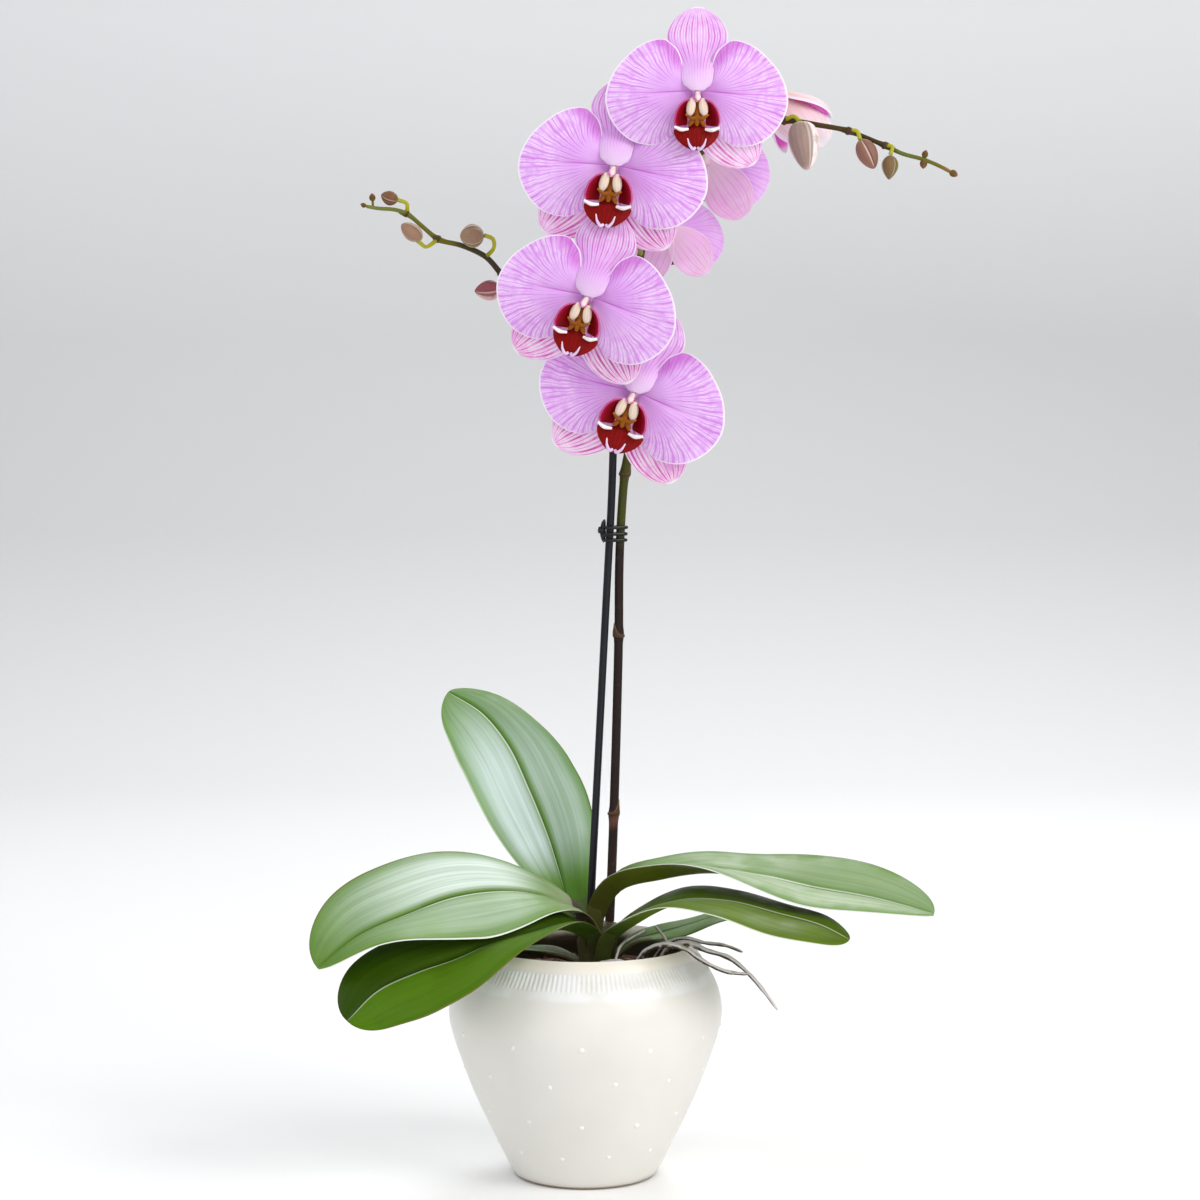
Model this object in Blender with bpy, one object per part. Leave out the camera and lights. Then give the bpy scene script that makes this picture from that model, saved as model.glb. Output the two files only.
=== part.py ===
"""A potted moth orchid: a white glazed pot filled with bark, a fan of thick leaves, roots that climb
over the rim, and one staked flower spike with open blooms, a half open flower and buds.

The middle of the pot's foot is the origin, +Z is up and the open blooms face -Y.
Sizes below are in millimetres, and MM turns them into metres."""

import math
import random

import bmesh
import bpy
import numpy as np

MM = 0.001
GAP = 0.3
HOLE_GAP = 0.4
SMOOTH_BELOW = math.radians(50)

# Glazed pot: outer profile as (radius, height) from the foot up to the rim's crest
POT_OUTER = [
    (37.5, 0.0), (39.2, 2.5), (46.3, 16.5), (53.2, 30.5), (60.6, 47.0), (66.4, 62.5), (70.9, 76.0),
    (73.0, 87.0), (71.6, 98.0), (66.6, 109.0), (61.0, 117.0), (58.9, 121.5), (57.0, 124.0),
]
POT_INNER = [
    (55.0, 122.8), (54.4, 119.5), (60.5, 109.5), (66.0, 98.0), (67.8, 87.0), (65.5, 75.0),
    (57.6, 53.0), (47.4, 32.0), (37.0, 13.0), (30.0, 7.5),
]
POT_FLOOR = 7.0
POT_SIDES = 30

# Bark: level of the fill and the size of the chips that cover it
BARK_TOP = 105.0
CHIP_COUNT = 14
CHIP = (15.0, 10.0, 5.5)
CHIP_SPREAD = 50.0

# Short stem that the leaves clasp: (centre x, centre y, half width, half depth, height)
CROWN = [
    (6.0, 3.0, 6.0, 5.0, 92.0), (6.0, 3.0, 8.0, 7.0, 104.0), (6.0, 4.0, 10.0, 9.0, 118.0),
    (6.5, 5.0, 11.0, 10.0, 128.0), (7.0, 6.0, 10.0, 9.0, 133.0),
]
CROWN_SIDES = 10
SHEATH_LENGTH = 29.0
SHEATH_THICKNESS = 2.6
LEAF_THICKNESS = 1.8
LEAF_EDGE = 0.9
LEAF_ROWS = 10
LEAF_COLUMNS = 5

# Leaves: midrib points, full width, and at five even stations from base to tip the fold of each
# half up from flat and the roll about the midrib, in degrees
LEAVES = {
    "leaf_upright": {
        "midrib": [(-2, 9, 122), (-8, 20, 135), (-13, 31, 152), (-20, 38, 174), (-31, 42, 201),
                   (-43, 46, 226), (-54, 52, 241), (-74, 63, 249)],
        "width": 66, "fold": (52, 20, 12, -6, -10), "roll": (0, 31, 32, 18, 26),
    },
    "leaf_upper_left": {
        "midrib": [(4, 0, 121), (-5, -4, 139), (-22, -12, 150), (-43, -24, 155), (-68, -36, 154),
                   (-92, -48, 147), (-116, -60, 138), (-136, -70, 123)],
        "width": 68, "fold": (45, 13, 7, 32, 34), "roll": (0, 24, 38, 30, 18),
    },
    "leaf_lower_left": {
        "midrib": [(7, -4, 112), (1, -14, 128), (-10, -26, 136), (-31, -42, 135), (-49, -52, 132),
                   (-67, -62, 126), (-86, -70, 121), (-106, -79, 113), (-120, -88, 100)],
        "width": 52, "fold": (50, 35, 18, 5, -7), "roll": (0, 0, 20, 56, 57),
    },
    "leaf_upper_right": {
        "midrib": [(8, 0, 119), (9, -5, 138), (18, -10, 154), (40, -14, 161), (63, -18, 165),
                   (94, -22, 162), (120, -28, 157), (147, -33, 153), (181, -43, 146)],
        "width": 62, "fold": (58, 39, 13, 21, 25), "roll": (0, -2, 8, 26, 9),
    },
    "leaf_lower_right": {
        "midrib": [(11, -8, 112), (15, -17, 128), (29, -27, 141), (47, -35, 151), (73, -45, 153),
                   (100, -55, 148), (122, -63, 143), (135, -67, 137)],
        "width": 49, "fold": (55, 26, 11, 2, 3), "roll": (0, 8, 9, 13, 24),
    },
    "leaf_back_right": {
        "midrib": [(14, 6, 112), (27, 9, 122), (41, 11, 126), (57, 15, 130), (72, 20, 134),
                   (85, 24, 138)],
        "width": 29, "fold": (40, 23, 9, 12, 7), "roll": (0, 3, 7, 0, 8),
    },
    "leaf_low_left": {
        "midrib": [(0, 6, 110), (-12, 8, 114), (-24, 11, 116), (-36, 15, 116), (-45, 19, 115)],
        "width": 20, "fold": (40, 32, 25, 20, 15), "roll": (0, 0, 0, 0, 0),
    },
}

# Roots: points along each one, then its thickness at the crown and at the tip
ROOTS = {
    "root_1": ([(22, -20, 104), (27, -25, 116), (34, -31, 126), (43, -35, 129), (53, -38, 127),
                (61, -42, 122), (73, -46, 117), (85, -49, 116)], 3.9, 1.8),
    "root_2": ([(37, -17, 104), (40, -22, 118), (46, -27, 127), (54, -30, 129), (62, -32, 126),
                (76, -37, 122), (86, -41, 114), (94, -45, 105), (100, -48, 97)], 3.9, 1.6),
    "root_3": ([(33, -3, 103), (37, -8, 116), (44, -13, 126), (53, -17, 129), (63, -19, 127),
                (74, -22, 126), (83, -24, 123)], 3.2, 1.6),
    "root_4": ([(14, -26, 104), (16, -24, 118), (19, -22, 126), (26, -22, 131), (32, -20, 134)],
               1.7, 1.2),
    "root_5": ([(43, -2, 104), (44, -7, 118), (42, -9, 128), (37, -6, 134)], 2.2, 1.3),
    "root_6": ([(-2, -27, 104), (5, -26, 115), (14, -30, 119), (24, -35, 118), (33, -39, 115),
                (38, -40, 104)], 3.0, 2.4),
}

# Stake and the spring clip that holds the spike to it
STAKE = [(0.0, 20.5, 62.0), (3.4, 18.0, 152.0), (6.7, 15.2, 218.0), (9.9, 11.8, 282.0),
         (12.3, 9.3, 329.0), (13.6, 8.0, 353.0), (15.2, 5.7, 399.0)]
STAKE_WIDTH = 4.1
CLIP_HEIGHTS = (338.4, 341.7, 345.2)
CLIP_THICKNESS = 1.3
CLIP_BAND = 1.5
CLIP_REACH_SPIKE = 2.35
CLIP_TAB = 3.4

# Flower spike from its foot on the crown to its tip, with the width at those points
SPIKE = [
    (13.0, 11.0, 133.4), (14.2, 12.0, 162.0), (15.2, 12.0, 191.0), (17.0, 12.0, 252.0),
    (17.8, 12.0, 288.0), (18.2, 11.0, 329.0), (19.0, 10.5, 348.0), (21.3, 9.0, 376.0),
    (25.0, 7.0, 397.0), (28.0, 5.0, 423.0), (30.0, 3.0, 455.0), (29.5, 1.0, 490.0),
    (39.0, 0.0, 515.0), (59.0, 0.0, 541.0), (84.0, 0.0, 555.0), (104.3, 0.0, 559.0),
    (122.0, -2.0, 556.5), (138.0, -3.0, 553.3), (147.5, -4.0, 549.6), (157.0, -5.0, 545.5),
    (166.0, -5.0, 541.4), (177.0, -6.0, 538.3), (187.5, -6.0, 533.8), (193.0, -6.0, 530.7),
]
SPIKE_WIDTHS = ((0.0, 5.0), (0.45, 4.6), (0.62, 4.0), (0.8, 3.2), (1.0, 1.9))
BRANCH = [
    (28.0, 5.0, 423.0), (18.0, 9.0, 440.0), (0.0, 12.0, 454.0), (-19.0, 13.5, 464.0),
    (-35.0, 13.0, 472.0), (-43.1, 12.0, 478.2), (-52.6, 10.0, 488.4), (-65.2, 9.0, 494.3),
    (-77.8, 8.0, 497.7), (-85.7, 7.0, 504.0), (-94.1, 7.0, 510.8), (-97.7, 6.0, 512.3),
    (-110.9, 6.0, 513.9), (-116.1, 6.0, 514.9),
]
BRANCH_WIDTHS = ((0.0, 3.4), (0.6, 3.1), (1.0, 1.9))
SPIKE_NODES = [(15.0, 12.0, 191.0), (17.9, 11.8, 288.0), (21.1, 9.1, 374.0)]

# Open blooms: middle of the flower, the way it faces, lean of its top to the right in degrees,
# size against a 95 mm bloom, and where its stalk leaves the spike
BLOOMS = {
    "bloom_1": ((56.5, -57.0, 568.2), (0.02, -1.0, -0.06), 1, 0.93, (50.0, 0.0, 530.0)),
    "bloom_2": ((15.2, -51.0, 531.3), (-0.08, -1.0, -0.05), 8, 0.98, (29.5, 1.0, 488.0)),
    "bloom_3": ((2.6, -55.0, 465.3), (-0.2, -1.0, -0.05), 16, 0.96, (30.0, 3.0, 452.0)),
    "bloom_4": ((26.0, -40.0, 416.8), (-0.14, -1.0, -0.02), 22, 1.0, (26.0, 6.5, 402.0)),
    "bloom_5": ((65.0, 47.0, 542.0), (0.22, 0.97, -0.10), -4, 0.86, (62.0, 0.0, 543.0)),
    "bloom_6": ((45.0, 28.0, 504.5), (0.45, 0.88, -0.15), 8, 0.9, (33.0, 1.0, 502.0)),
}

# Shapes of one bloom in its own frame, where +Z faces out and +Y is its top.
# Sepals: turn from the top in degrees and how far the tip bends back
SEPALS = [(0, 6.0), (143, 1.2), (-143, 1.2)]
SEPAL_LENGTH = 46.0
SEPAL_WIDTH = 31.0
SEPAL_BACK = 1.2
# Petal outline: angle above level in degrees and reach from the claw
PETAL_REACH = [(-84, 11), (-68, 25), (-50, 35), (-28, 43.5), (-6, 48), (18, 41.5), (40, 35),
               (61, 30), (82, 17)]
PETAL_CLAW = (2.4, 0.5)
PETAL_THICKNESS = 0.9
HUB_BACK = 4.0
HUB_FRONT = 3.0
# Column: points from the hub to the cap, and its width at each
COLUMN = [(0, -0.4, HUB_FRONT + GAP), (0, -0.4, 6.0), (0, -1.4, 9.4), (0, -3.0, 12.0), (0, -4.4, 13.4)]
COLUMN_WIDTHS = (4.6, 4.8, 5.4, 6.0, 3.4)
# Lip: its claw, callus and right tail as points, then the middle lobe's half width by share of length
LIP_CLAW = [(0, -6.0, 4.8), (0, -11.0, 6.2), (0, -17.5, 8.0)]
LIP_CALLUS = [(0, -11.0, 6.8), (0, -15.4, 10.2)]
LIP_TAIL = [(0.8, -27.6, 12.3), (3.4, -28.8, 14.2), (4.8, -24.4, 16.2)]
LIP_MIDDLE = [(0.0, 2.6), (0.25, 3.6), (0.42, 11.4), (0.62, 9.4), (1.0, 2.2)]
LIP_MIDDLE_LENGTH = 13.2
LIP_SIDE_REACH = 9.6
LIP_SIDE_RISE = 8.5
LIP_THICKNESS = 0.9

# Half open flower: its base, the way its mouth faces, and where its stalk leaves the spike
OPENING = ((101.0, 26.0, 574.0), (0.46, -0.30, -0.80), (88.0, 0.0, 555.6))
OPENING_SEPALS = {"turns": (0, 120, 240), "length": 33.0, "width": 27.0, "spread": 0.52}
OPENING_PETALS = {"turns": (70, 290), "length": 27.0, "width": 20.0, "spread": 0.34}

# Buds: base, pointing direction, length, width, and the points of the stalk after the spike
BUDS = {
    "bud_left_1": ((-44.8, 12, 471.8), (-1, 0, -0.1), 14.0, 11.0,
                   [(-43.1, 12, 478.0), (-41.6, 12, 474.6), (-44.5, 12, 471.8)]),
    "bud_left_2": ((-53.3, 1.5, 499.3), (-1, 0, -0.05), 12.6, 12.4,
                   [(-52.6, 10, 488.4), (-48.3, 7, 493.0), (-49.0, 3, 497.8), (-53.0, 1.5, 499.3)]),
    "bud_left_3": ((-88.8, -1.5, 497.3), (-0.5, 0, 0.8), 11.2, 11.0,
                   [(-77.8, 8, 497.7), (-83.6, 3, 493.6), (-88.4, -1.5, 496.6)]),
    "bud_left_4": ((-99.0, 6, 518.1), (-1, 0, 0.15), 8.8, 8.0,
                   [(-94.1, 7, 510.8), (-94.2, 6, 516.3), (-98.7, 6, 518.1)]),
    "bud_right_1": ((112.0, -10, 557.4), (0.15, -0.12, -1), 25.5, 16.0,
                    [(104.3, 0, 559.0), (108.6, -5, 562.2), (111.9, -9.8, 557.7)]),
    "bud_right_2": ((143.8, -6, 548.4), (0.38, 0, -1), 15.6, 11.6,
                    [(138.0, -3, 553.3), (141.8, -5.5, 554.0), (143.7, -6, 548.7)]),
    "bud_right_3": ((159.5, -8, 540.4), (-0.06, 0, -1), 12.8, 8.6,
                    [(157.0, -5, 545.5), (160.4, -7.5, 544.8), (159.5, -8, 540.7)]),
}

# Smallest buds, which grow in one with the spike: root, end and width
TIP_BUDS = [
    ((-110.9, 6.0, 513.9), (-112.1, 6.0, 520.2), 5.0),
    ((177.0, -6.0, 538.3), (177.2, -6.0, 541.8), 4.2),
    ((177.0, -6.0, 538.3), (176.6, -6.0, 535.2), 4.4),
    ((189.0, -6.0, 533.0), (193.6, -6.0, 530.3), 3.6),
]


def finish(name, colour, roughness):
    """A Principled material in one plain colour."""
    material = bpy.data.materials.new(name)
    material.use_nodes = True
    shader = material.node_tree.nodes["Principled BSDF"]
    shader.inputs["Base Color"].default_value = (*colour, 1.0)
    shader.inputs["Roughness"].default_value = roughness
    shader.inputs["Metallic"].default_value = 0.0
    return material


def rounded(mesh):
    mesh.shade_smooth()
    mesh.set_sharp_from_angle(angle=SMOOTH_BELOW)


def make(name, solid, material):
    """An object from points in millimetres and their faces."""
    points, faces = solid
    mesh = bpy.data.meshes.new(name)
    places = (np.asarray(points, float) * MM).tolist()
    mesh.from_pydata(places, [], [list(map(int, f)) for f in faces])
    whole = bmesh.new()
    whole.from_mesh(mesh)
    bmesh.ops.recalc_face_normals(whole, faces=whole.faces)
    whole.to_mesh(mesh)
    whole.free()
    mesh.materials.append(material)
    rounded(mesh)
    obj = bpy.data.objects.new(name, mesh)
    bpy.context.scene.collection.objects.link(obj)
    return obj


def baked(obj):
    """The object's mesh with its modifiers applied."""
    graph = bpy.context.evaluated_depsgraph_get()
    return bpy.data.meshes.new_from_object(obj.evaluated_get(graph))


def combine(name, operation, solids, material, solver="EXACT"):
    """One object: the first solid with the others joined to it or cut from it."""
    first, *others = [make(f"{name}_{i}", s, material) for i, s in enumerate(solids)]
    helpers = bpy.data.collections.new(name + "_pieces")
    bpy.context.scene.collection.children.link(helpers)
    for obj in others:
        bpy.context.scene.collection.objects.unlink(obj)
        helpers.objects.link(obj)
    modifier = first.modifiers.new(operation.title(), "BOOLEAN")
    modifier.operation = operation
    modifier.solver = solver
    modifier.operand_type = "COLLECTION"
    modifier.collection = helpers
    mesh = baked(first)
    for obj in [first, *others]:
        bpy.data.objects.remove(obj)
    bpy.data.collections.remove(helpers)
    mesh.name = name
    rounded(mesh)
    obj = bpy.data.objects.new(name, mesh)
    bpy.context.scene.collection.objects.link(obj)
    return obj


def solid_of(obj):
    """Points in millimetres and faces of an object, for a further join or cut."""
    points = [tuple(v.co / MM) for v in obj.data.vertices]
    faces = [tuple(p.vertices) for p in obj.data.polygons]
    return points, faces


def unit(v):
    """Vectors at length one."""
    v = np.asarray(v, float)
    return v / np.linalg.norm(v, axis=-1, keepdims=True)


def smooth_path(points, count, even=1.0):
    """Points on a smooth curve through the given ones; above 1, even crowds them to the end."""
    points = np.asarray(points, float)
    at = np.concatenate([[0], np.cumsum(np.linalg.norm(np.diff(points, axis=0), axis=1))])
    slope = np.gradient(points, at, axis=0)
    fine = np.linspace(0, at[-1], 12 * len(points))
    k = np.clip(np.searchsorted(at, fine, side="right") - 1, 0, len(points) - 2)
    h = (at[k + 1] - at[k])[:, None]
    t = (fine - at[k])[:, None] / h
    curve = ((2 * t**3 - 3 * t**2 + 1) * points[k] + (t**3 - 2 * t**2 + t) * h * slope[k]
             + (3 * t**2 - 2 * t**3) * points[k + 1] + (t**3 - t**2) * h * slope[k + 1])
    run = np.concatenate([[0], np.cumsum(np.linalg.norm(np.diff(curve, axis=0), axis=1))])
    where = (1 - (1 - np.linspace(0, 1, count)) ** even) * run[-1]
    return np.stack([np.interp(where, run, curve[:, k]) for k in range(3)], axis=1)


def rings_solid(rings):
    """Rows of points round a core, closed by a flat fan at each end."""
    rows, sides = rings.shape[:2]
    points = np.concatenate([rings.reshape(-1, 3), [rings[0].mean(0)], [rings[-1].mean(0)]])
    faces = []
    for i in range(rows - 1):
        for j in range(sides):
            a, b = i * sides + j, i * sides + (j + 1) % sides
            faces += [(a, b, b + sides), (a, b + sides, a + sides)]
    for j in range(sides):
        k = (j + 1) % sides
        faces.append((rows * sides, k, j))
        last = (rows - 1) * sides
        faces.append((rows * sides + 1, last + j, last + k))
    return points, faces


def tube(path, widths, sides, grow=0.0):
    """A round stem along a path, with a width for each of its points; grow widens and deepens it."""
    path = np.asarray(path, float)
    tangent = unit(np.gradient(path, axis=0))
    side = unit(np.cross(tangent[0], (0.3, 1.0, 0.2)))
    rings = []
    turn = np.arange(sides) * 2 * math.pi / sides
    for p, t, w in zip(path, tangent, widths):
        side = unit(side - t * np.dot(side, t))
        other = np.cross(t, side)
        reach = w / 2 + grow
        rings.append(p + reach * (np.cos(turn)[:, None] * side + np.sin(turn)[:, None] * other))
    rings[0] = rings[0] - tangent[0] * 2 * grow
    rings[-1] = rings[-1] + tangent[-1] * 2 * grow
    return rings_solid(np.array(rings))


def slab(top, bottom):
    """A thin closed sheet between two grids, split into triangles alike on both faces."""
    rows, columns = top.shape[:2]
    at = np.arange(rows * columns).reshape(rows, columns)
    below = rows * columns
    faces = []
    for i in range(rows - 1):
        for j in range(columns - 1):
            a, b, c, d = at[i, j], at[i + 1, j], at[i + 1, j + 1], at[i, j + 1]
            faces += [(a, b, c), (a, c, d)]
            faces += [(a + below, c + below, b + below), (a + below, d + below, c + below)]
    rim = [*at[:, 0], *at[-1, 1:], *at[::-1, -1][1:], *at[0, ::-1][1:-1]]
    for p, q in zip(rim, rim[1:] + rim[:1]):
        faces += [(q, p, p + below), (q, p + below, q + below)]
    return np.concatenate([top.reshape(-1, 3), bottom.reshape(-1, 3)]), faces


def sheet(middle, thickness):
    """A slab of the given thickness about a curved middle surface."""
    along, across = np.gradient(middle, axis=0), np.gradient(middle, axis=1)
    normal = unit(np.cross(along, across))
    half = np.asarray(thickness)[..., None] / 2
    return slab(middle + normal * half, middle - normal * half)


def placement(centre, facing, lean, size):
    """Rotation and scale that turn a flower's own frame (+Z faces out, +Y is its top) into place."""
    z = unit(facing)
    y = unit(np.array([0.0, 0.0, 1.0]) - z * z[2])
    x = np.cross(y, z)
    a = math.radians(lean)
    top = y * math.cos(a) + x * math.sin(a)
    return np.stack([np.cross(top, z), top, z], axis=1) * size, np.asarray(centre, float)


def turned(solid, place):
    """A solid taken from a flower's own frame to its place on the plant."""
    rotation, centre = place
    return np.asarray(solid[0], float) @ rotation.T + centre, solid[1]


def blend(values, s):
    """Values given at even stations, read at s along a leaf."""
    return np.interp(s, np.linspace(0, 1, len(values)), values)


def leaf_surface(spec, start, stop, rows, columns, even):
    """Middle surface of part of a leaf: a folded strip along the midrib, rounded at the tip."""
    path = smooth_path(spec["midrib"], 160)
    run = np.concatenate([[0], np.cumsum(np.linalg.norm(np.diff(path, axis=0), axis=1))])
    s = start + (stop - start) * (1 - (1 - np.linspace(0, 1, rows)) ** even)
    tangents = unit(np.gradient(path, axis=0))
    centre = np.stack([np.interp(s * run[-1], run, path[:, k]) for k in range(3)], axis=1)
    ahead = unit(np.stack([np.interp(s * run[-1], run, tangents[:, k]) for k in range(3)], axis=1))
    heading = unit((path[-1] - path[0]) * (1, 1, 0))
    side = unit(np.cross(ahead, np.array([0, 0, 1.0]) - 0.8 * heading))
    lift = np.cross(side, ahead)
    roll = np.radians(blend(spec["roll"], s))[:, None] * (1 if heading[0] > 0 else -1)
    side, lift = side * np.cos(roll) - lift * np.sin(roll), lift * np.cos(roll) + side * np.sin(roll)
    grown = 0.34 + 0.66 * np.sin(np.clip((s - 0.04) / 0.5, 0, 1) * math.pi / 2) ** 1.6
    closing = np.sqrt(np.clip(1 - np.clip((s - 0.6) / 0.4, 0, 1) ** 2.8, 0.0009, 1))
    half = (spec["width"] / 2 * grown * closing)[:, None]
    fold = np.radians(blend(spec["fold"], s))[:, None]
    u = np.linspace(-1, 1, columns)[None, :]
    out = half * u * np.cos(fold)
    up = half * (np.abs(u) * np.sin(fold) - 0.16 * u**2)
    return centre[:, None] + side[:, None] * out[..., None] + lift[:, None] * up[..., None]


def sheath_share(spec):
    """The part of a leaf's length that is its sheath."""
    path = smooth_path(spec["midrib"], 80)
    return SHEATH_LENGTH / np.linalg.norm(np.diff(path, axis=0), axis=1).sum()


def leaf(name, spec, material):
    """A blade from its joint with the sheath to its tip, thick at the midrib and thin at the edge."""
    share = sheath_share(spec)
    gap = 2 * GAP / SHEATH_LENGTH * share
    middle = leaf_surface(spec, share + gap, 1.0, LEAF_ROWS, LEAF_COLUMNS, 1.3)
    u = np.abs(np.linspace(-1, 1, LEAF_COLUMNS))[None, :]
    thick = LEAF_THICKNESS + (LEAF_EDGE - LEAF_THICKNESS) * u**1.5 + np.zeros((LEAF_ROWS, 1))
    return make(name, sheet(middle, thick), material)


def sheath(spec):
    """The folded base of a leaf, which clasps the short stem."""
    middle = leaf_surface(spec, 0.0, sheath_share(spec), 3, LEAF_COLUMNS, 1.0)
    return sheet(middle, np.full(middle.shape[:2], SHEATH_THICKNESS))


def crown_core(grow=0.0):
    """The short stem as rounded rings from the bark up to where the spike leaves it."""
    turn = np.arange(CROWN_SIDES) * 2 * math.pi / CROWN_SIDES
    cos, sin, level = np.cos(turn), np.sin(turn), np.ones(CROWN_SIDES)
    rings = [np.stack([x + (a + grow) * cos, y + (b + grow) * sin, z * level], axis=1)
             for x, y, a, b, z in CROWN]
    rings[0][:, 2] -= 2 * grow
    return rings_solid(np.array(rings))


def turned_profile(profile, sides):
    """Points of a profile swept round +Z."""
    turn = np.arange(sides) * 2 * math.pi / sides
    return np.array([np.stack([r * np.cos(turn), r * np.sin(turn), np.full(sides, z)], axis=1)
                     for r, z in profile])


def pot(material):
    """The wall, swept from the foot over the rim and down inside to the floor."""
    inner = [*POT_INNER, (0.01, POT_FLOOR)]
    return make("pot", rings_solid(turned_profile([*POT_OUTER, *inner], POT_SIDES)), material)


def chip(rng):
    """A flat bark chip lying at some slant on the fill, narrower on top."""
    reach, turn = CHIP_SPREAD * math.sqrt(rng.random()), rng.random() * 2 * math.pi
    level = BARK_TOP + rng.uniform(-0.5, 1.8)
    centre = np.array([reach * math.cos(turn), reach * math.sin(turn), level])
    length, width, height = [c * rng.uniform(0.75, 1.2) for c in CHIP]
    a, b, c = rng.random() * math.pi, rng.uniform(-0.3, 0.3), rng.uniform(-0.3, 0.3)
    x = np.array([math.cos(a), math.sin(a), b])
    y = np.array([-math.sin(a), math.cos(a), c])
    x, y = unit(x), unit(y - x * (x @ y) / (x @ x))
    z = np.cross(x, y)
    corners = [centre + (x * i * length + y * j * width) / 2 * taper + z * k * height / 2
               for k, taper in ((-1, 1.0), (1, 0.8)) for i, j in ((-1, -1), (1, -1), (1, 1), (-1, 1))]
    sides = [(i, (i + 1) % 4, (i + 1) % 4 + 4, i + 4) for i in range(4)]
    faces = [(3, 2, 1, 0), (4, 5, 6, 7), *sides]
    return corners, faces


def bark(material):
    """The fill under its chips, with a plain hole for each thing that stands in it."""
    rim_side = [(r - GAP - 0.1, z) for r, z in reversed(POT_INNER) if z < BARK_TOP]
    fill = rings_solid(turned_profile([(0.01, POT_FLOOR + GAP), *rim_side, (61.0, BARK_TOP)], 16))
    rng = random.Random(11)
    heap = combine("heap", "UNION", [fill, *[chip(rng) for _ in range(CHIP_COUNT)]], material)
    stems = [crown_core(GAP), stake_solid(HOLE_GAP)]
    for points, thick, thin in ROOTS.values():
        stems.append(root_solid(points, thick, thin, HOLE_GAP))
    for name in ("leaf_low_left", "leaf_back_right", "leaf_lower_left", "leaf_lower_right"):
        middle = leaf_surface(LEAVES[name], 0.0, 0.5, 4, LEAF_COLUMNS, 1.0)
        stems.append(sheet(middle, np.full(middle.shape[:2], SHEATH_THICKNESS + 2 * HOLE_GAP)))
    solid = solid_of(heap)
    bpy.data.objects.remove(heap)
    return combine("bark", "DIFFERENCE", [solid, *stems], material)


def crown(material):
    """The short stem with the overlapping sheaths of all its leaves, and a groove where the stake
    runs down beside it."""
    whole = combine("whole", "UNION", [crown_core(), *[sheath(s) for s in LEAVES.values()]], material)
    solid = solid_of(whole)
    bpy.data.objects.remove(whole)
    return combine("crown", "DIFFERENCE", [solid, stake_solid(HOLE_GAP)], material)


def stake_solid(grow=0.0):
    """The straight round rod that the spike is tied to, a little bowed as it leans."""
    return tube(smooth_path(STAKE, 8), [STAKE_WIDTH] * 8, 8, grow)


def root_solid(points, thick, thin, grow=0.0):
    """An aerial root, which leaves the bark and tapers to its tip."""
    path = smooth_path(points, 2 * len(points) + 1)
    return tube(path, np.linspace(thick, thin, len(path)), 5, grow)


def stem_widths(table, count):
    """Width at each of a stem's points, from a table of (share of its length, width)."""
    at, width = zip(*table)
    return np.interp(np.linspace(0, 1, count), at, width)


def stalk(points, widths, rows=6, sides=5):
    """A thin stalk through the given points."""
    path = smooth_path(points, rows)
    return tube(path, np.interp(np.linspace(0, 1, rows), np.linspace(0, 1, len(widths)), widths), sides)


def flower_stalk(centre, facing, size, start):
    """A stalk that leaves the spike, swings out and meets the back of the flower squarely."""
    end = np.asarray(centre) - unit(facing) * (HUB_BACK * size + GAP)
    back = end - unit(facing) * 3.0
    start = np.asarray(start, float)
    away = np.linalg.norm(back - start)
    first = start + (unit(back - start) * 0.6 + np.array([0, 0, 0.4])) * away * 0.35
    second = back - unit(facing) * away * 0.4
    t = np.linspace(0, 1, 5)[:, None]
    bent = (1 - t) ** 3 * start + 3 * t * (1 - t) ** 2 * first + 3 * t**2 * (1 - t) * second + t**3 * back
    return tube([*bent, end], (3.0, 2.4, 2.4, 2.8, 3.4, 3.6), 5)


def oval(base, direction, length, width, sides=8, rows=5):
    """A closed bud, fullest below its middle and drawn to a blunt point."""
    z = unit(direction)
    x = unit(np.cross(z, (0.2, 1.0, 0.1)))
    y = np.cross(z, x)
    t = np.linspace(0.02, 0.985, rows)
    reach = width / 2 * np.sin(math.pi * t**0.9) ** 0.62
    turn = np.arange(sides) * 2 * math.pi / sides
    ring = np.cos(turn)[:, None] * x + np.sin(turn)[:, None] * y
    rings = np.asarray(base, float) + z * (t * length)[:, None, None] + reach[:, None, None] * ring
    return rings_solid(rings)


def flower_spike(material):
    """The staked spike with its side branch, stalks, joints and the smallest buds."""
    solids = []
    for points, table, rows in ((SPIKE, SPIKE_WIDTHS, 32), (BRANCH, BRANCH_WIDTHS, 17)):
        solids.append(tube(smooth_path(points, rows), stem_widths(table, rows), 6))
    for centre, facing, _, size, start in BLOOMS.values():
        solids.append(flower_stalk(centre, facing, size, start))
    base, facing, start = OPENING
    solids.append(flower_stalk(base, facing, 0.6, start))
    for _, _, _, width, points in BUDS.values():
        solids.append(stalk(points, (1.9, 1.5, 1.7 + width * 0.03), 4, 4))
    for start, centre, size in TIP_BUDS:
        away = np.subtract(centre, start)
        solids.append(oval(start, away, np.linalg.norm(away) + size * 0.6, size, 5, 4))
    for x, y, z in SPIKE_NODES:
        ring = np.array([(x, y, z - 4), (x, y, z - 1), (x, y, z + 5), (x + 0.4, y, z + 9)])
        solids.append(tube(ring, (4.2, 6.4, 5.8, 4.4), 6))
    return combine("flower_spike", "UNION", solids, material, "MANIFOLD")


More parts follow.
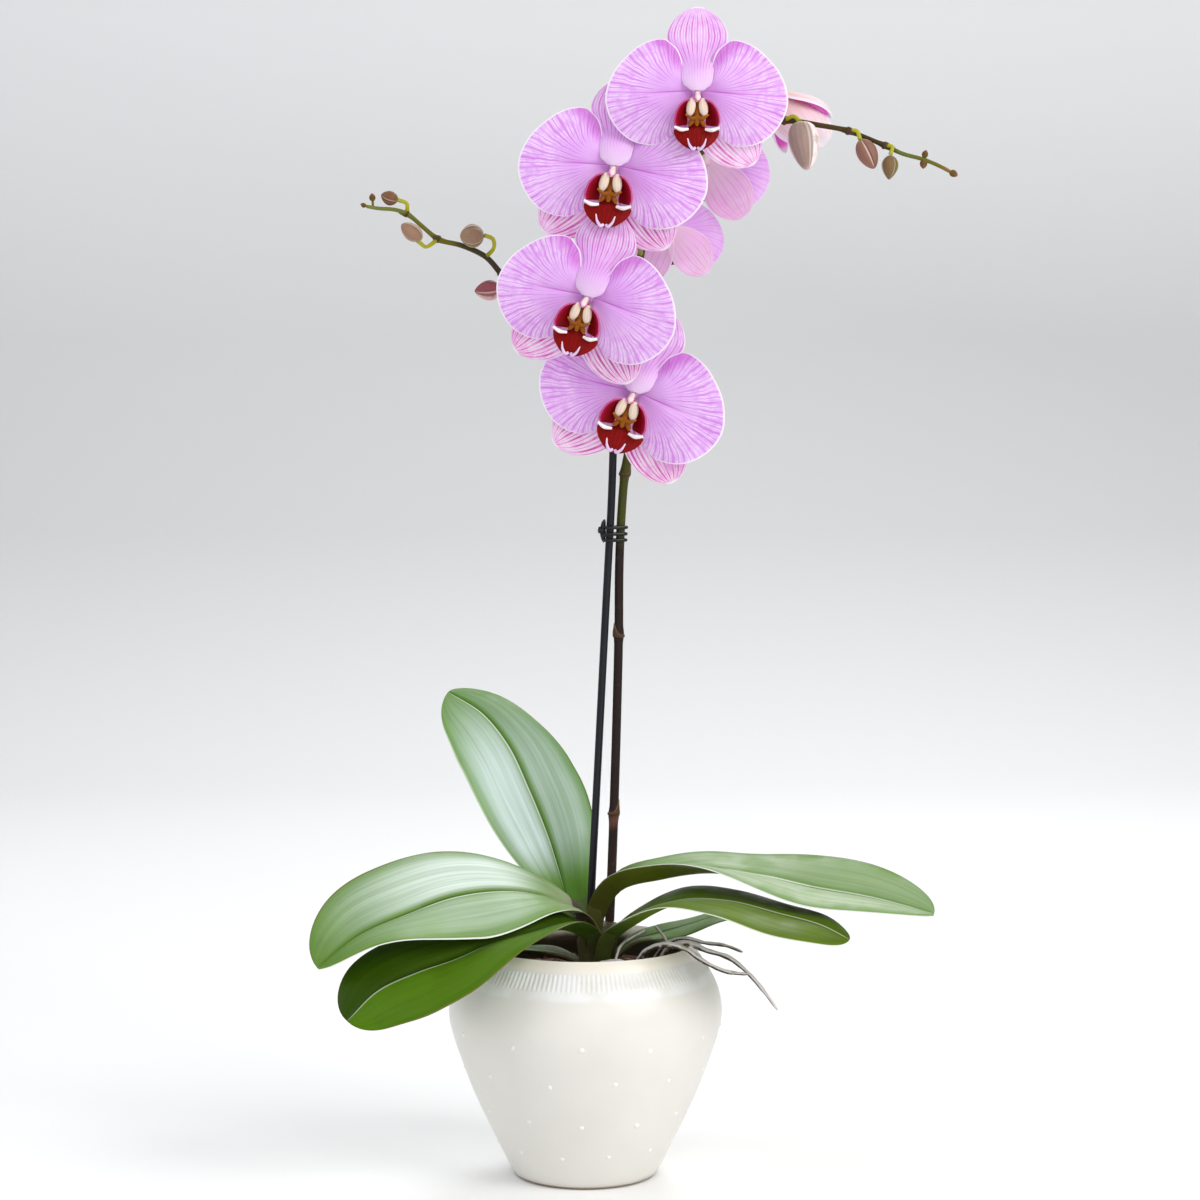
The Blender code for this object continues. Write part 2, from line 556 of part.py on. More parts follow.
def sepal(turn, curl):
    """An oval sepal from the hub outward, bowed along its middle, its tip bent back."""
    s = np.array([0.0, 0.25, 0.6, 0.87, 1.0])
    u = np.linspace(-1, 1, 4)
    half = SEPAL_WIDTH / 2 * (0.2 * (1 - s) + np.sin(math.pi * np.clip(s, 0, 0.985) ** 0.84) ** 0.72)
    half[-1] = max(half[-1], 4.4)
    out = 1.5 + (SEPAL_LENGTH - 1.5) * s[:, None] * (1 - 0.05 * u[None, :] ** 2)
    x = half[:, None] * u[None, :]
    bow = 1.6 * np.sin(math.pi * s)[:, None] * (1 - u[None, :] ** 2)
    z = bow - SEPAL_BACK - curl * s[:, None] ** 2
    sin, cos = math.sin(math.radians(turn)), math.cos(math.radians(turn))
    middle = np.stack([x * cos + out * sin, out * cos - x * sin, z], axis=-1)
    return sheet(middle[:, ::-1], np.full(middle.shape[:2], PETAL_THICKNESS))


def petal(side):
    """A broad fan from a narrow claw, which rises in front of the sepals and waves at its edge."""
    angles, reach = np.array(PETAL_REACH, float).T
    r = np.array([0.08, 0.42, 0.78, 1.0])[:, None]
    a = np.radians(angles)[None, :]
    x = PETAL_CLAW[0] + r * reach * np.cos(a)
    y = PETAL_CLAW[1] + r * reach * np.sin(a)
    z = 0.8 + 5.8 * np.clip(r / 0.4, 0, 1) - 2.4 * r**2 + 0.8 * np.sin(3.5 * a + 0.6) * r**2
    middle = np.stack([side * x, y, z + 0 * x], axis=-1)
    middle = middle if side > 0 else middle[:, ::-1]
    return sheet(middle, np.full(middle.shape[:2], PETAL_THICKNESS))


def tepals(material):
    """Three sepals and two petals joined at the small hub that the stalk carries."""
    hub = tube([(0, 0, -HUB_BACK), (0, 0, 0.0), (0, 0, HUB_FRONT)], (4.0, 8.0, 6.4), 6)
    sepals = [sepal(turn, curl) for turn, curl in SEPALS]
    return combine("tepals", "UNION", [hub, *sepals, petal(1), petal(-1)], material, "MANIFOLD")


def side_lobe(side):
    """One raised side lobe of the lip: a small wing that curves out and forward."""
    s = np.linspace(0, 1, 4)[:, None]
    t = np.linspace(-1, 1, 3)[None, :]
    reach = 1.0 + LIP_SIDE_REACH * np.sin(s * math.pi / 2)
    spread = 3.2 + 3.4 * np.sin(math.pi * s**0.8)
    across = side * (reach - 1.6 * t**2 * s)
    down = -11.6 + spread * t - 1.2 * s
    lobe = np.stack([across, down, 6.2 + LIP_SIDE_RISE * s**1.6 + 0 * t], axis=-1)
    lobe = lobe if side > 0 else lobe[:, ::-1]
    return sheet(lobe, np.full(lobe.shape[:2], LIP_THICKNESS))


def middle_lobe():
    """The lip's arrow shaped middle lobe, with its corners drawn back and its edges down."""
    s, half = np.array(LIP_MIDDLE).T[:, :, None]
    u = np.linspace(-1, 1, 4)[None, :]
    corner = 2.2 * (np.abs(u) - 0.5) * (s < 0.6) * (s > 0.3)
    middle = np.stack([half * u, -15.5 - LIP_MIDDLE_LENGTH * s - corner,
                       7.6 + 5.0 * s - 2.4 * u**2 * np.sin(math.pi * s)], axis=-1)
    return sheet(middle[:, ::-1], np.full(middle.shape[:2], LIP_THICKNESS))


def lip(material):
    """The lip: two raised side lobes, an arrow shaped middle lobe, a callus and two curled tails."""
    solids = [tube(LIP_CLAW, (3.4, 5.6, 4.0), 5), side_lobe(1), side_lobe(-1), middle_lobe()]
    for side in (1, -1):
        solids.append(tube(np.array(LIP_TAIL) * (side, 1, 1), (1.8, 1.4, 1.0), 4))
    solids.append(tube(LIP_CALLUS, (4.4, 2.4), 5))
    return combine("lip", "UNION", solids, material, "MANIFOLD")


def column(material):
    """The column, a short club that leans over the lip, with its cap at the front."""
    return make("column", tube(COLUMN, COLUMN_WIDTHS, 6), material)


def bloom(name, spec, shapes, materials):
    """One open bloom: tepals, column and lip set by the same placement."""
    centre, facing, lean, size, _ = spec
    place = placement(centre, facing, lean, size)
    for part, solid in shapes.items():
        make(f"{name}_{part}", turned(solid, place), materials[part])


def cupped(turn, length, width, spread):
    """One sepal or petal of the half open flower, bent round its middle like a hand."""
    s = np.array([0.0, 0.35, 0.75, 1.0])[:, None]
    u = np.linspace(-1, 1, 4)[None, :]
    half = width / 2 * np.maximum(np.sin(math.pi * np.clip(s, 0.04, 0.985) ** 0.85) ** 0.7, 0.2)
    reach = 1.4 + length * spread * np.sin(s * 1.9) ** 0.9
    around = math.radians(turn) + 1.1 * half * u / np.maximum(reach + 5.0, 6.0)
    rise = 0.6 + length * 0.86 * s + 0 * u
    middle = np.stack([reach * np.sin(around), reach * np.cos(around), rise], axis=-1)
    return sheet(middle[:, ::-1], np.full(middle.shape[:2], PETAL_THICKNESS))


def opening_flower(material):
    """A half open flower: three cupped sepals round two petals on a small hub."""
    base, facing, _ = OPENING
    solids = [tube([(0, 0, -2.4), (0, 0, 0), (0, 0, 2.6)], (3.6, 5.6, 6.4), 8)]
    for spec in (OPENING_SEPALS, OPENING_PETALS):
        for turn in spec["turns"]:
            solids.append(cupped(turn, spec["length"], spec["width"], spec["spread"]))
    shape = combine("opening", "UNION", solids, material, "MANIFOLD")
    solid = solid_of(shape)
    bpy.data.objects.remove(shape)
    return make("opening_flower", turned(solid, placement(base, facing, 0, 1.0)), material)


def stem_clip(material):
    """A moulded spring clip: three fingers round stake and spike, on a bar with a grip tab."""
    solids = []
    path = smooth_path(SPIKE, 400)
    stake = smooth_path(STAKE, 400)
    inside = STAKE_WIDTH / 2 + GAP
    for z in CLIP_HEIGHTS:
        a = stake[np.argmin(np.abs(stake[:, 2] - z))]
        b = path[np.argmin(np.abs(path[:, 2] - z))]
        solids.append(loop_band(a, inside, b, CLIP_REACH_SPIKE + GAP, z))
    low, middle, high = CLIP_HEIGHTS
    x, y, _ = stake[np.argmin(np.abs(stake[:, 2] - middle))]
    back = x - inside - CLIP_THICKNESS / 2
    bar = [(back - 0.4, y, low - 1.0), (back - 0.4, y, middle), (back - 0.2, y, high + 3.4)]
    solids.append(tube(bar, (1.8, 3.0, 2.6), 6))
    tab = [(back - 0.2, y, middle + 1.0), (back - CLIP_TAB, y, middle + 1.6)]
    solids.append(tube(tab, (3.0, 3.6), 6))
    return combine("stem_clip", "UNION", solids, material)


def loop_band(a, reach_a, b, reach_b, z):
    """A flat oval band round two upright stems, drawn as an outer and an inner outline."""
    along = unit((b - a) * (1, 1, 0))
    across = np.array([-along[1], along[0], 0.0])
    turn = np.linspace(math.pi / 2, 3 * math.pi / 2, 5)
    round_half = [np.cos(t) * along + np.sin(t) * across for t in turn]
    a, b = a * (1, 1, 0), b * (1, 1, 0)
    rings = []
    for grow, side in ((0, -1), (CLIP_THICKNESS, -1), (CLIP_THICKNESS, 1), (0, 1)):
        ends = [a + (reach_a + grow) * v for v in round_half]
        ends += [b - (reach_b + grow) * v for v in round_half]
        rings.append(np.array(ends) + (0, 0, z + side * CLIP_BAND / 2))
    rings = np.array(rings)
    count = rings.shape[1]
    faces = []
    for i in range(4):
        for j in range(count):
            p, q = i * count + j, i * count + (j + 1) % count
            r, s = ((i + 1) % 4) * count + (j + 1) % count, ((i + 1) % 4) * count + j
            faces += [(p, q, r), (p, r, s)]
    return rings.reshape(-1, 3), faces


def build():
    """All the pieces of the potted plant, each with its own material."""
    for old in list(bpy.data.objects):
        bpy.data.objects.remove(old)
    glaze = finish("glaze", (0.86, 0.84, 0.79), 0.18)
    bark_brown = finish("bark brown", (0.16, 0.08, 0.04), 0.9)
    sheath_green = finish("sheath green", (0.10, 0.14, 0.04), 0.5)
    leaf_green = finish("leaf green", (0.12, 0.26, 0.06), 0.35)
    root_grey = finish("root grey", (0.42, 0.40, 0.33), 0.8)
    stem_brown = finish("stem brown", (0.09, 0.06, 0.03), 0.5)
    black = finish("black plastic", (0.01, 0.01, 0.012), 0.4)
    bud_pink = finish("bud mauve", (0.45, 0.24, 0.24), 0.5)
    shades = {
        "tepals": finish("tepal pink", (0.78, 0.42, 0.84), 0.5),
        "lip": finish("lip crimson", (0.35, 0.004, 0.01), 0.4),
        "column": finish("column cream", (0.8, 0.62, 0.66), 0.45),
    }
    pot(glaze)
    bark(bark_brown)
    crown(sheath_green)
    for name, spec in LEAVES.items():
        leaf(name, spec, leaf_green)
    for name, (points, thick, thin) in ROOTS.items():
        make(name, root_solid(points, thick, thin), root_grey)
    flower_spike(stem_brown)
    make("stake", stake_solid(), black)
    stem_clip(black)
    shapes = {}
    for part, source in (("tepals", tepals), ("lip", lip), ("column", column)):
        model = source(shades[part])
        shapes[part] = solid_of(model)
        bpy.data.objects.remove(model)
    for name, spec in BLOOMS.items():
        bloom(name, spec, shapes, shades)
    opening_flower(shades["tepals"])
    for name, (base, direction, length, width, _) in BUDS.items():
        make(name, oval(base, direction, length, width), bud_pink)


build()
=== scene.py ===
"""A potted moth orchid in finer pieces: glazed pot, bark, stem, leaves, roots, stake, clip, spike,
buds and flowers. The middle of the pot's foot is the origin, +Z is up and the near blooms face -Y.
Sizes are in millimetres, and MM turns them into metres. The stage alone is in metres."""

import math
import random

import bpy
import numpy as np
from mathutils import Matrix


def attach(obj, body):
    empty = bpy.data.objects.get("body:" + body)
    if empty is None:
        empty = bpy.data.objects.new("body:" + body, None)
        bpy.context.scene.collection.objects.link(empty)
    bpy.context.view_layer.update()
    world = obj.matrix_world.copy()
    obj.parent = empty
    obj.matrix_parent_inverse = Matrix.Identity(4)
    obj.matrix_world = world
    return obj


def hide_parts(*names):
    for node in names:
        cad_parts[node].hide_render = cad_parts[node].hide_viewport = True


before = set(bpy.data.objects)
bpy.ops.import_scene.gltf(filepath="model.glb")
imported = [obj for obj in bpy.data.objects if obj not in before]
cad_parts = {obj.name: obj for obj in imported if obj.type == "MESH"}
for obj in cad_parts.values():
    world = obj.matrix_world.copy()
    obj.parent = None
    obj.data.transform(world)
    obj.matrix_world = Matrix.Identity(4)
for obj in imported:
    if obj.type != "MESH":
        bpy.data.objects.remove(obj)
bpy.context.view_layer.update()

# Pot
# Thick earthenware thrown in one piece and glazed cream white. A band of short strokes is raised on
# its shoulder, and small raised dots are set in staggered rows below.
MM = 0.001
# Radius and height of points up the outer wall, and then down the inner wall
POT_OUTER = [
    (37.5, 0.0), (39.2, 2.5), (46.3, 16.5), (53.2, 30.5), (60.6, 47.0), (66.4, 62.5), (70.9, 76.0),
    (73.0, 87.0), (71.6, 98.0), (66.6, 109.0), (61.0, 117.0), (58.9, 121.5), (57.0, 124.0),
]
POT_INNER = [
    (55.0, 122.8), (54.4, 119.5), (60.5, 109.5), (66.0, 98.0), (67.8, 87.0), (65.5, 75.0),
    (57.6, 53.0), (47.4, 32.0), (37.0, 13.0), (30.0, 7.5), (0.2, 7.0),
]
POT_RIM = 124.3
STROKES = 157
STROKE_LOW, STROKE_HIGH, STROKE_RISE = 109.7, 117.8, 0.4
DOTS_IN_ROW = 12
# Height of each row of dots, and the place of its first dot round the pot in degrees
DOT_ROWS = [(80.0, -32.0), (60.5, -17.5), (37.5, -32.0), (19.0, -16.0)]
# The pot's second pattern number is the height outside. Inside it goes on from INSIDE, rim down.
INSIDE = 130.0
# A height of the wall that has neither band nor painted shade, from which the dots take their colour
PLAIN_HEIGHT = 60.0


class Shape:
    """Points in millimetres, faces, two pattern numbers for each point and a finish for each face."""

    def __init__(self):
        self.points, self.faces, self.uv, self.finish, self.count = [], [], [], [], 0

    def add(self, points, faces, uv, finish=0):
        """Adds a closed part. One that is inside out, as the sum of the volumes under its faces is
        below zero, is turned round. Faces are arrays of corner numbers."""
        points = np.asarray(points, float).reshape(-1, 3)
        volume = 0.0
        for part in faces:
            corners = points[part]
            for k in range(1, part.shape[1] - 1):
                crossed = np.cross(corners[:, k], corners[:, k + 1])
                volume += np.einsum("ij,ij->", corners[:, 0], crossed)
        finish = finish if isinstance(finish, (list, tuple)) else [finish] * len(faces)
        for part, look in zip(faces, finish):
            part = part[:, ::-1] if volume < 0 else part
            self.faces.append(part + self.count)
            self.finish.append(np.full(len(part), 0) + look)
        self.points.append(points)
        self.uv.append(np.asarray(uv, float).reshape(-1, 2))
        self.count += len(points)


def made(name, shape, finishes, nodes):
    """A smooth piece from a shape, on the plant's one body. Where a ring closes, the first pattern
    number of its last faces runs on past one rather than back to nought."""
    mesh = bpy.data.meshes.new(name)
    faces = [f for part in shape.faces for f in part.tolist()]
    mesh.from_pydata((np.concatenate(shape.points) * MM).tolist(), [], faces)
    corner = np.empty(len(mesh.loops), int)
    mesh.loops.foreach_get("vertex_index", corner)
    uv = np.concatenate(shape.uv)[corner]
    sizes = np.array([len(f) for f in faces])
    starts = np.concatenate([[0], np.cumsum(sizes)[:-1]])
    widest = np.repeat(np.maximum.reduceat(uv[:, 0], starts), sizes)
    uv[widest - uv[:, 0] > 0.5, 0] += 1.0
    mesh.uv_layers.new(name="pattern").data.foreach_set("uv", uv.ravel())
    for finish in finishes:
        mesh.materials.append(finish)
    mesh.polygons.foreach_set("material_index", np.concatenate(shape.finish))
    mesh.shade_smooth()
    mesh.set_sharp_from_angle(angle=math.radians(60))
    obj = bpy.data.objects.new(name, mesh)
    bpy.context.scene.collection.objects.link(obj)
    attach(obj, "root")
    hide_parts(*nodes)


def unit(v):
    """Vectors at length one."""
    v = np.asarray(v, float)
    return v / np.maximum(np.linalg.norm(v, axis=-1, keepdims=True), 1e-9)


def smooth_path(points, count):
    """Points at even steps on a cubic through the given ones, whose slope at each point is that of
    its neighbours."""
    points = np.asarray(points, float)
    at = np.concatenate([[0], np.cumsum(np.linalg.norm(np.diff(points, axis=0), axis=1))])
    slope = np.gradient(points, at, axis=0)
    fine = np.linspace(0, at[-1], 12 * len(points))
    k = np.clip(np.searchsorted(at, fine, side="right") - 1, 0, len(points) - 2)
    h = (at[k + 1] - at[k])[:, None]
    t = (fine - at[k])[:, None] / h
    curve = ((2 * t**3 - 3 * t**2 + 1) * points[k] + (t**3 - 2 * t**2 + t) * h * slope[k]
             + (3 * t**2 - 2 * t**3) * points[k + 1] + (t**3 - t**2) * h * slope[k + 1])
    run = np.concatenate([[0], np.cumsum(np.linalg.norm(np.diff(curve, axis=0), axis=1))])
    where = np.linspace(0, 1, count) * run[-1]
    return np.stack([np.interp(where, run, curve[:, i]) for i in range(points.shape[1])], axis=1)


def ring_faces(rows, sides):
    """Quads between rings of points, and one flat face on the first and the last ring."""
    at = np.arange(rows * sides).reshape(rows, sides)
    beside = np.roll(at, -1, axis=1)
    quads = np.stack([at[:-1], beside[:-1], beside[1:], at[1:]], axis=-1).reshape(-1, 4)
    return [quads, at[:1, ::-1], at[-1:]]


def even_uv(rows, sides):
    """The share of the way round a ring and the share of the way along the rings."""
    return np.stack(np.meshgrid(np.arange(sides) / sides, np.linspace(0, 1, rows)), axis=-1)


class Finish:
    """A Principled material, with nodes added to it by value or by another node's output."""

    def __init__(self, name, **settings):
        self.material = bpy.data.materials.new(name)
        self.material.use_nodes = True
        self.tree = self.material.node_tree
        self.shader = self.tree.nodes["Principled BSDF"]
        for key, value in settings.items():
            self.shader.inputs[key.replace("_", " ")].default_value = value

    def put(self, socket, value):
        """Gives a socket a number, a colour or another node's output."""
        if isinstance(value, bpy.types.NodeSocket):
            self.tree.links.new(value, socket)
        elif isinstance(value, tuple) and len(value) == 3 and len(socket.default_value) == 4:
            socket.default_value = (*value, 1.0)
        else:
            socket.default_value = value

    def node(self, kind, inputs=(), **settings):
        """A node with its settings, and inputs as pairs of a name or number and a value."""
        made_node = self.tree.nodes.new("ShaderNode" + kind)
        for key, value in settings.items():
            setattr(made_node, key, value)
        for key, value in inputs:
            self.put(made_node.inputs[key], value)
        return made_node

    def math(self, operation, *values):
        return self.node("Math", enumerate(values), operation=operation).outputs[0]

    def plus(self, a, b):
        return self.math("ADD", a, b)

    def minus(self, a, b):
        return self.math("SUBTRACT", a, b)

    def times(self, a, b):
        return self.math("MULTIPLY", a, b)

    def over(self, a, b):
        return self.math("DIVIDE", a, b)

    def times_plus(self, a, b, c):
        """The product of the first two plus the third."""
        return self.math("MULTIPLY_ADD", a, b, c)

    def larger(self, a, b):
        return self.math("MAXIMUM", a, b)

    def absolute(self, a):
        return self.math("ABSOLUTE", a)

    def cosine(self, a):
        return self.math("COSINE", a)

    def mix(self, share, a, b):
        """Colour a, with colour b mixed in by a share."""
        pairs = [(0, share), (6, a), (7, b)]
        return self.node("Mix", pairs, data_type="RGBA").outputs[2]

    def between(self, value, low, high, to_low=0.0, to_high=1.0):
        """The value's smooth share of the way from low to high."""
        pairs = [("Value", value), ("From Min", low), ("From Max", high), ("To Min", to_low),
                 ("To Max", to_high)]
        return self.node("MapRange", pairs, interpolation_type="SMOOTHSTEP").outputs[0]

    def stops(self, value, colours):
        """A colour read from a rising list of (place, colour). A new ramp has two marks."""
        ramp = self.node("ValToRGB", [(0, value)])
        marks = ramp.color_ramp.elements
        for place, _ in colours[2:]:
            marks.new(place)
        for mark, (place, colour) in zip(marks, colours):
            mark.position, mark.color = place, (*colour, 1.0)
        return ramp.outputs[0]

    def noise(self, scale, detail=3.0, stretch=(1, 1, 1)):
        """A noise in the piece's own space, with scale lumps to the metre."""
        place = self.node("TexCoord").outputs["Object"]
        place = self.node("Mapping", [("Vector", place), ("Scale", stretch)]).outputs[0]
        pairs = [("Vector", place), ("Scale", scale), ("Detail", detail)]
        return self.node("TexNoise", pairs).outputs["Fac"]

    def pattern(self):
        """The two pattern numbers of the piece."""
        parts = self.node("SeparateXYZ", [(0, self.node("UVMap", uv_map="pattern").outputs[0])])
        return parts.outputs[0], parts.outputs[1]

    def group(self, tree, **values):
        """A shared group with this material's own values."""
        return self.node("Group", values.items(), node_tree=tree).outputs

    def patches(self, scale, low, high, amount=1.0, stretch=(1.0, 1.0, 1.0)):
        """The mask and the grain of the shared patches."""
        out = self.group(PATCHES, Scale=scale, Stretch=stretch, Low=low, High=high, Amount=amount)
        return out["Mask"], out["Grain"]

    def bump(self, height, strength, distance):
        """Raises the surface by a height between 0 and 1 times a distance in millimetres."""
        pairs = [("Height", height), ("Strength", strength), ("Distance", distance * MM)]
        self.put(self.shader.inputs["Normal"], self.node("Bump", pairs).outputs[0])

    def colour(self, value):
        self.put(self.shader.inputs["Base Color"], value)

    def rough(self, value):
        self.put(self.shader.inputs["Roughness"], value)


def shared(name, inputs, outputs):
    """An empty shader node group with named sockets, held in a Finish that adds nodes to it."""
    group = bpy.data.node_groups.new(name, "ShaderNodeTree")
    for socket in inputs:
        kind = "NodeSocketVector" if socket == "Stretch" else "NodeSocketFloat"
        group.interface.new_socket(socket, in_out="INPUT", socket_type=kind)
    for socket in outputs:
        group.interface.new_socket(socket, in_out="OUTPUT", socket_type="NodeSocketFloat")
    f = Finish.__new__(Finish)
    f.tree = group
    return f, group.nodes.new("NodeGroupInput").outputs, group.nodes.new("NodeGroupOutput").inputs


def patch_group():
    """Soft patches: how far a noise in the piece's own space lies from Low to High, times Amount,
    and the noise itself, to raise the surface with."""
    f, given, out = shared("soft patches", ("Scale", "Stretch", "Low", "High", "Amount"),
                           ("Mask", "Grain"))
    grain = f.noise(given["Scale"], 4.0, given["Stretch"])
    mask = f.between(grain, given["Low"], given["High"])
    f.put(out["Mask"], f.times(mask, given["Amount"]))
    f.put(out["Grain"], grain)
    return f.tree


PATCHES = patch_group()


def scaled(colour, share):
    """A colour made deeper by a share below 1, or lighter by one above it."""
    return tuple(c * share for c in colour)


def glaze(name, body, neck, strength):
    """Cream glaze with a faint cloudiness, smudged paler about the stroke band and deeper in its
    grooves, over clay that shows at the foot. The inner wall turns dark brown below the rim as painted
    shade in the pot's mouth."""
    f = Finish(name, Coat_Weight=0.12, Coat_Roughness=0.3)
    round_share, height = f.pattern()
    cloudy, cloud = f.patches(38.0, 0.35, 0.7)
    shade = f.mix(cloudy, body, scaled(body, 0.975))
    shade = f.mix(f.between(height, 117.0, 120.5), shade, neck)
    wave = f.cosine(f.times(round_share, STROKES * 2 * math.pi))
    band = f.times(f.between(height, STROKE_LOW - 1.2, STROKE_LOW + 0.8),
                   f.between(height, STROKE_HIGH + 1.2, STROKE_HIGH - 0.3))
    groove = f.times(f.between(wave, -0.1, 0.8), band)
    smudge = f.times(f.between(height, 104.0, 106.5), f.between(height, 118.5, 117.0))
    smudge = f.times(smudge, f.plus(f.patches(90.0, 0.35, 0.62, 0.6)[0], 0.15))
    shade = f.mix(smudge, shade, (0.85, 0.86, 0.86))
    shade = f.mix(f.times(groove, strength), shade, (0.60, 0.585, 0.52))
    # Painted shade: the inner wall darkens to deep brown from a few millimetres below the rim.
    mouth_shade_depth = f.plus(height, f.patches(60.0, 0.35, 0.7, 2.5)[0])
    mouth_shade = f.between(mouth_shade_depth, INSIDE + 3.5, INSIDE + 9.0, 0.0, 0.92)
    shade = f.mix(mouth_shade, shade, (0.055, 0.042, 0.022))
    f.colour(f.mix(f.between(height, 1.3, 0.5, 0.0, 0.85), shade, (0.30, 0.20, 0.11)))
    f.rough(f.plus(f.patches(120.0, 0.3, 0.75, 0.1)[0], 0.36))
    f.bump(cloud, 0.02, 0.6)
    return f.material


def pot_piece():
    """Rings of a smooth curve through the profile, closer together in the stroke band. The strokes
    are a wave round the shoulder, four corners each, raised where the height lies in the band."""
    outer = smooth_path(POT_OUTER, 400)
    heights = np.concatenate([np.linspace(0.0, 108.6, 34), np.linspace(109.2, 118.4, 20),
                              np.linspace(119.2, POT_OUTER[-1][1], 8)])
    profile = np.stack([np.interp(heights, outer[:, 1], outer[:, 0]), heights], axis=1)
    inner = smooth_path([POT_OUTER[-1], (56.0, POT_RIM), *POT_INNER], 40)[1:]
    base = np.array([(0.2, 0.4), (20.0, 0.4), (34.0, 0.4), (35.5, 0.0), (36.8, 0.0)])
    profile = np.concatenate([base, profile, inner])
    outside = np.arange(len(profile)) < len(base) + len(heights)
    sides = STROKES * 4
    turn = np.arange(sides) * 2 * math.pi / sides
    wave = np.array([0.0, 1.0, 1.0, 0.0])[np.arange(sides) % 4]
    h, r = profile[:, 1], profile[:, 0]
    edge = np.clip((h - STROKE_LOW) / 0.7, 0, 1) * np.clip((STROKE_HIGH - h) / 0.7, 0, 1) * outside
    reach = r[:, None] + STROKE_RISE * edge[:, None] * wave[None, :]
    rings = np.stack([reach * np.cos(turn), reach * np.sin(turn), h[:, None] + 0 * reach], axis=-1)
    seen = np.where(outside, h, INSIDE + POT_RIM - h)
    uv = np.stack([np.tile(turn / (2 * math.pi), (len(h), 1)), np.tile(seen[:, None], (1, sides))], -1)
    shape = Shape()
    shape.add(rings, ring_faces(len(h), sides), uv)
    return shape, outer


def dots_piece(outer):
    """Low domes on the wall: rings about the wall's outward direction, whose height falls off about
    with the square of the distance from the dot's middle."""
    rng = random.Random(5)
    shape = Shape()
    sides = 10
    turn = np.arange(sides) * 2 * math.pi / sides
    rise = np.array([-0.5, 0.02, 0.3, 0.45, 0.52])[:, None]
    uv = even_uv(len(rise), sides) * (1, 0) + (0, PLAIN_HEIGHT)
    for height, first in DOT_ROWS:
        for k in range(DOTS_IN_ROW):
            z = height + rng.uniform(-1.2, 1.2)
            a = math.radians(first + 360 / DOTS_IN_ROW * k - 90 + rng.uniform(-1.5, 1.5))
            r, above, below = np.interp([z, z + 1, z - 1], outer[:, 1], outer[:, 0])
            out = unit([math.cos(a), math.sin(a), (below - above) / 2])
            side = np.array([-math.sin(a), math.cos(a), 0.0])
            up = np.cross(out, side)
            middle = np.array([r * math.cos(a), r * math.sin(a), z])
            size = rng.uniform(1.2, 1.6)
            reach = np.array([1.15, 1.0, 0.75, 0.45, 0.1])[:, None] * size
            rings = (middle + out * rise[..., None] + (reach * np.cos(turn))[..., None] * side
                     + (reach * np.sin(turn))[..., None] * up)
            shape.add(rings, ring_faces(len(rise), sides), uv)
    return shape


pot_shape, pot_wall = pot_piece()
body_glaze = glaze("pot_glaze", (0.77, 0.75, 0.70), (0.77, 0.725, 0.63), 0.25)
made("pot_wall", pot_shape, [body_glaze], ["pot"])
dot_glaze = glaze("dot_glaze", (0.86, 0.855, 0.83), (0.8, 0.8, 0.8), 0.0)
made("pot_dots", dots_piece(pot_wall), [dot_glaze], ["pot"])

# Bark
# Reddish brown chips of fir bark, tipped in loose round the stem and the roots. They fill the pot
# to just below its neck.
BARK_TOP = 105.0
CHIPS = 210


def bark_finish():
    """Fibrous brown, dark to light with the grain of the chips, and worn paler in patches."""
    f = Finish("bark_brown", Roughness=0.85)
    grain = f.noise(420.0, 6.0, (1, 1, 3))
    tone = f.stops(grain, [(0.25, (0.035, 0.016, 0.009)), (0.5, (0.11, 0.048, 0.026)),
                           (0.7, (0.25, 0.12, 0.065))])
    f.colour(f.mix(f.patches(70.0, 0.45, 0.65)[0], tone, (0.17, 0.10, 0.065)))
    f.bump(grain, 0.6, 1.2)
    return f.material


def bark_piece():
    """A round fill whose top is a sum of waves, under flat chips. A chip is three rings of seven
    corners, drawn in at the top and bottom and pushed in or out a little at each corner."""
    shape = Shape()
    sides, corners = 72, 7
    wall = [(r - 0.6, z) for r, z in reversed(POT_INNER) if z < BARK_TOP]
    profile = np.array([*wall, (61.6, BARK_TOP - 1.5), (60.5, BARK_TOP - 0.4),
                        *[(r, BARK_TOP) for r in (50, 40, 30, 20, 10, 0.3)]])
    turn = np.arange(sides) * 2 * math.pi / sides
    x, y = profile[:, :1] * np.cos(turn), profile[:, :1] * np.sin(turn)
    wave = 0.8 * np.sin(0.31 * x + 1.3) * np.sin(0.27 * y) + 0.5 * np.sin(0.7 * x + 0.6 * y)
    z = profile[:, 1:] + wave * (profile[:, 1:] > BARK_TOP - 1)
    shape.add(np.stack([x, y, z], axis=-1), ring_faces(len(profile), sides),
              even_uv(len(profile), sides))
    rng = random.Random(23)
    around = np.arange(corners) * 2 * math.pi / corners
    for _ in range(CHIPS):
        reach, a = 55 * math.sqrt(rng.random()), rng.random() * 2 * math.pi
        middle = np.array([reach * math.cos(a), reach * math.sin(a), BARK_TOP + rng.uniform(-1, 2.4)])
        length, width, height = rng.uniform(4, 9), rng.uniform(2.6, 5), rng.uniform(1.2, 2.6)
        b = rng.random() * math.pi
        along = unit([math.cos(b), math.sin(b), rng.uniform(-0.35, 0.35)])
        across = unit(np.cross([rng.uniform(-0.3, 0.3), rng.uniform(-0.3, 0.3), 1], along))
        up = np.cross(along, across)
        jag = np.array([rng.uniform(0.75, 1.15) for _ in around])
        rings = []
        for lift, draw in ((-1, 0.8), (0.1, 1.0), (1, 0.72)):
            ring = middle + up * lift * height
            rings.append(ring + (draw * jag * length * np.cos(around))[:, None] * along
                         + (draw * jag * width * np.sin(around))[:, None] * across)
        shape.add(np.array(rings), ring_faces(3, corners), even_uv(3, corners))
    return shape


made("bark_chips", bark_piece(), [bark_finish()], ["bark"])

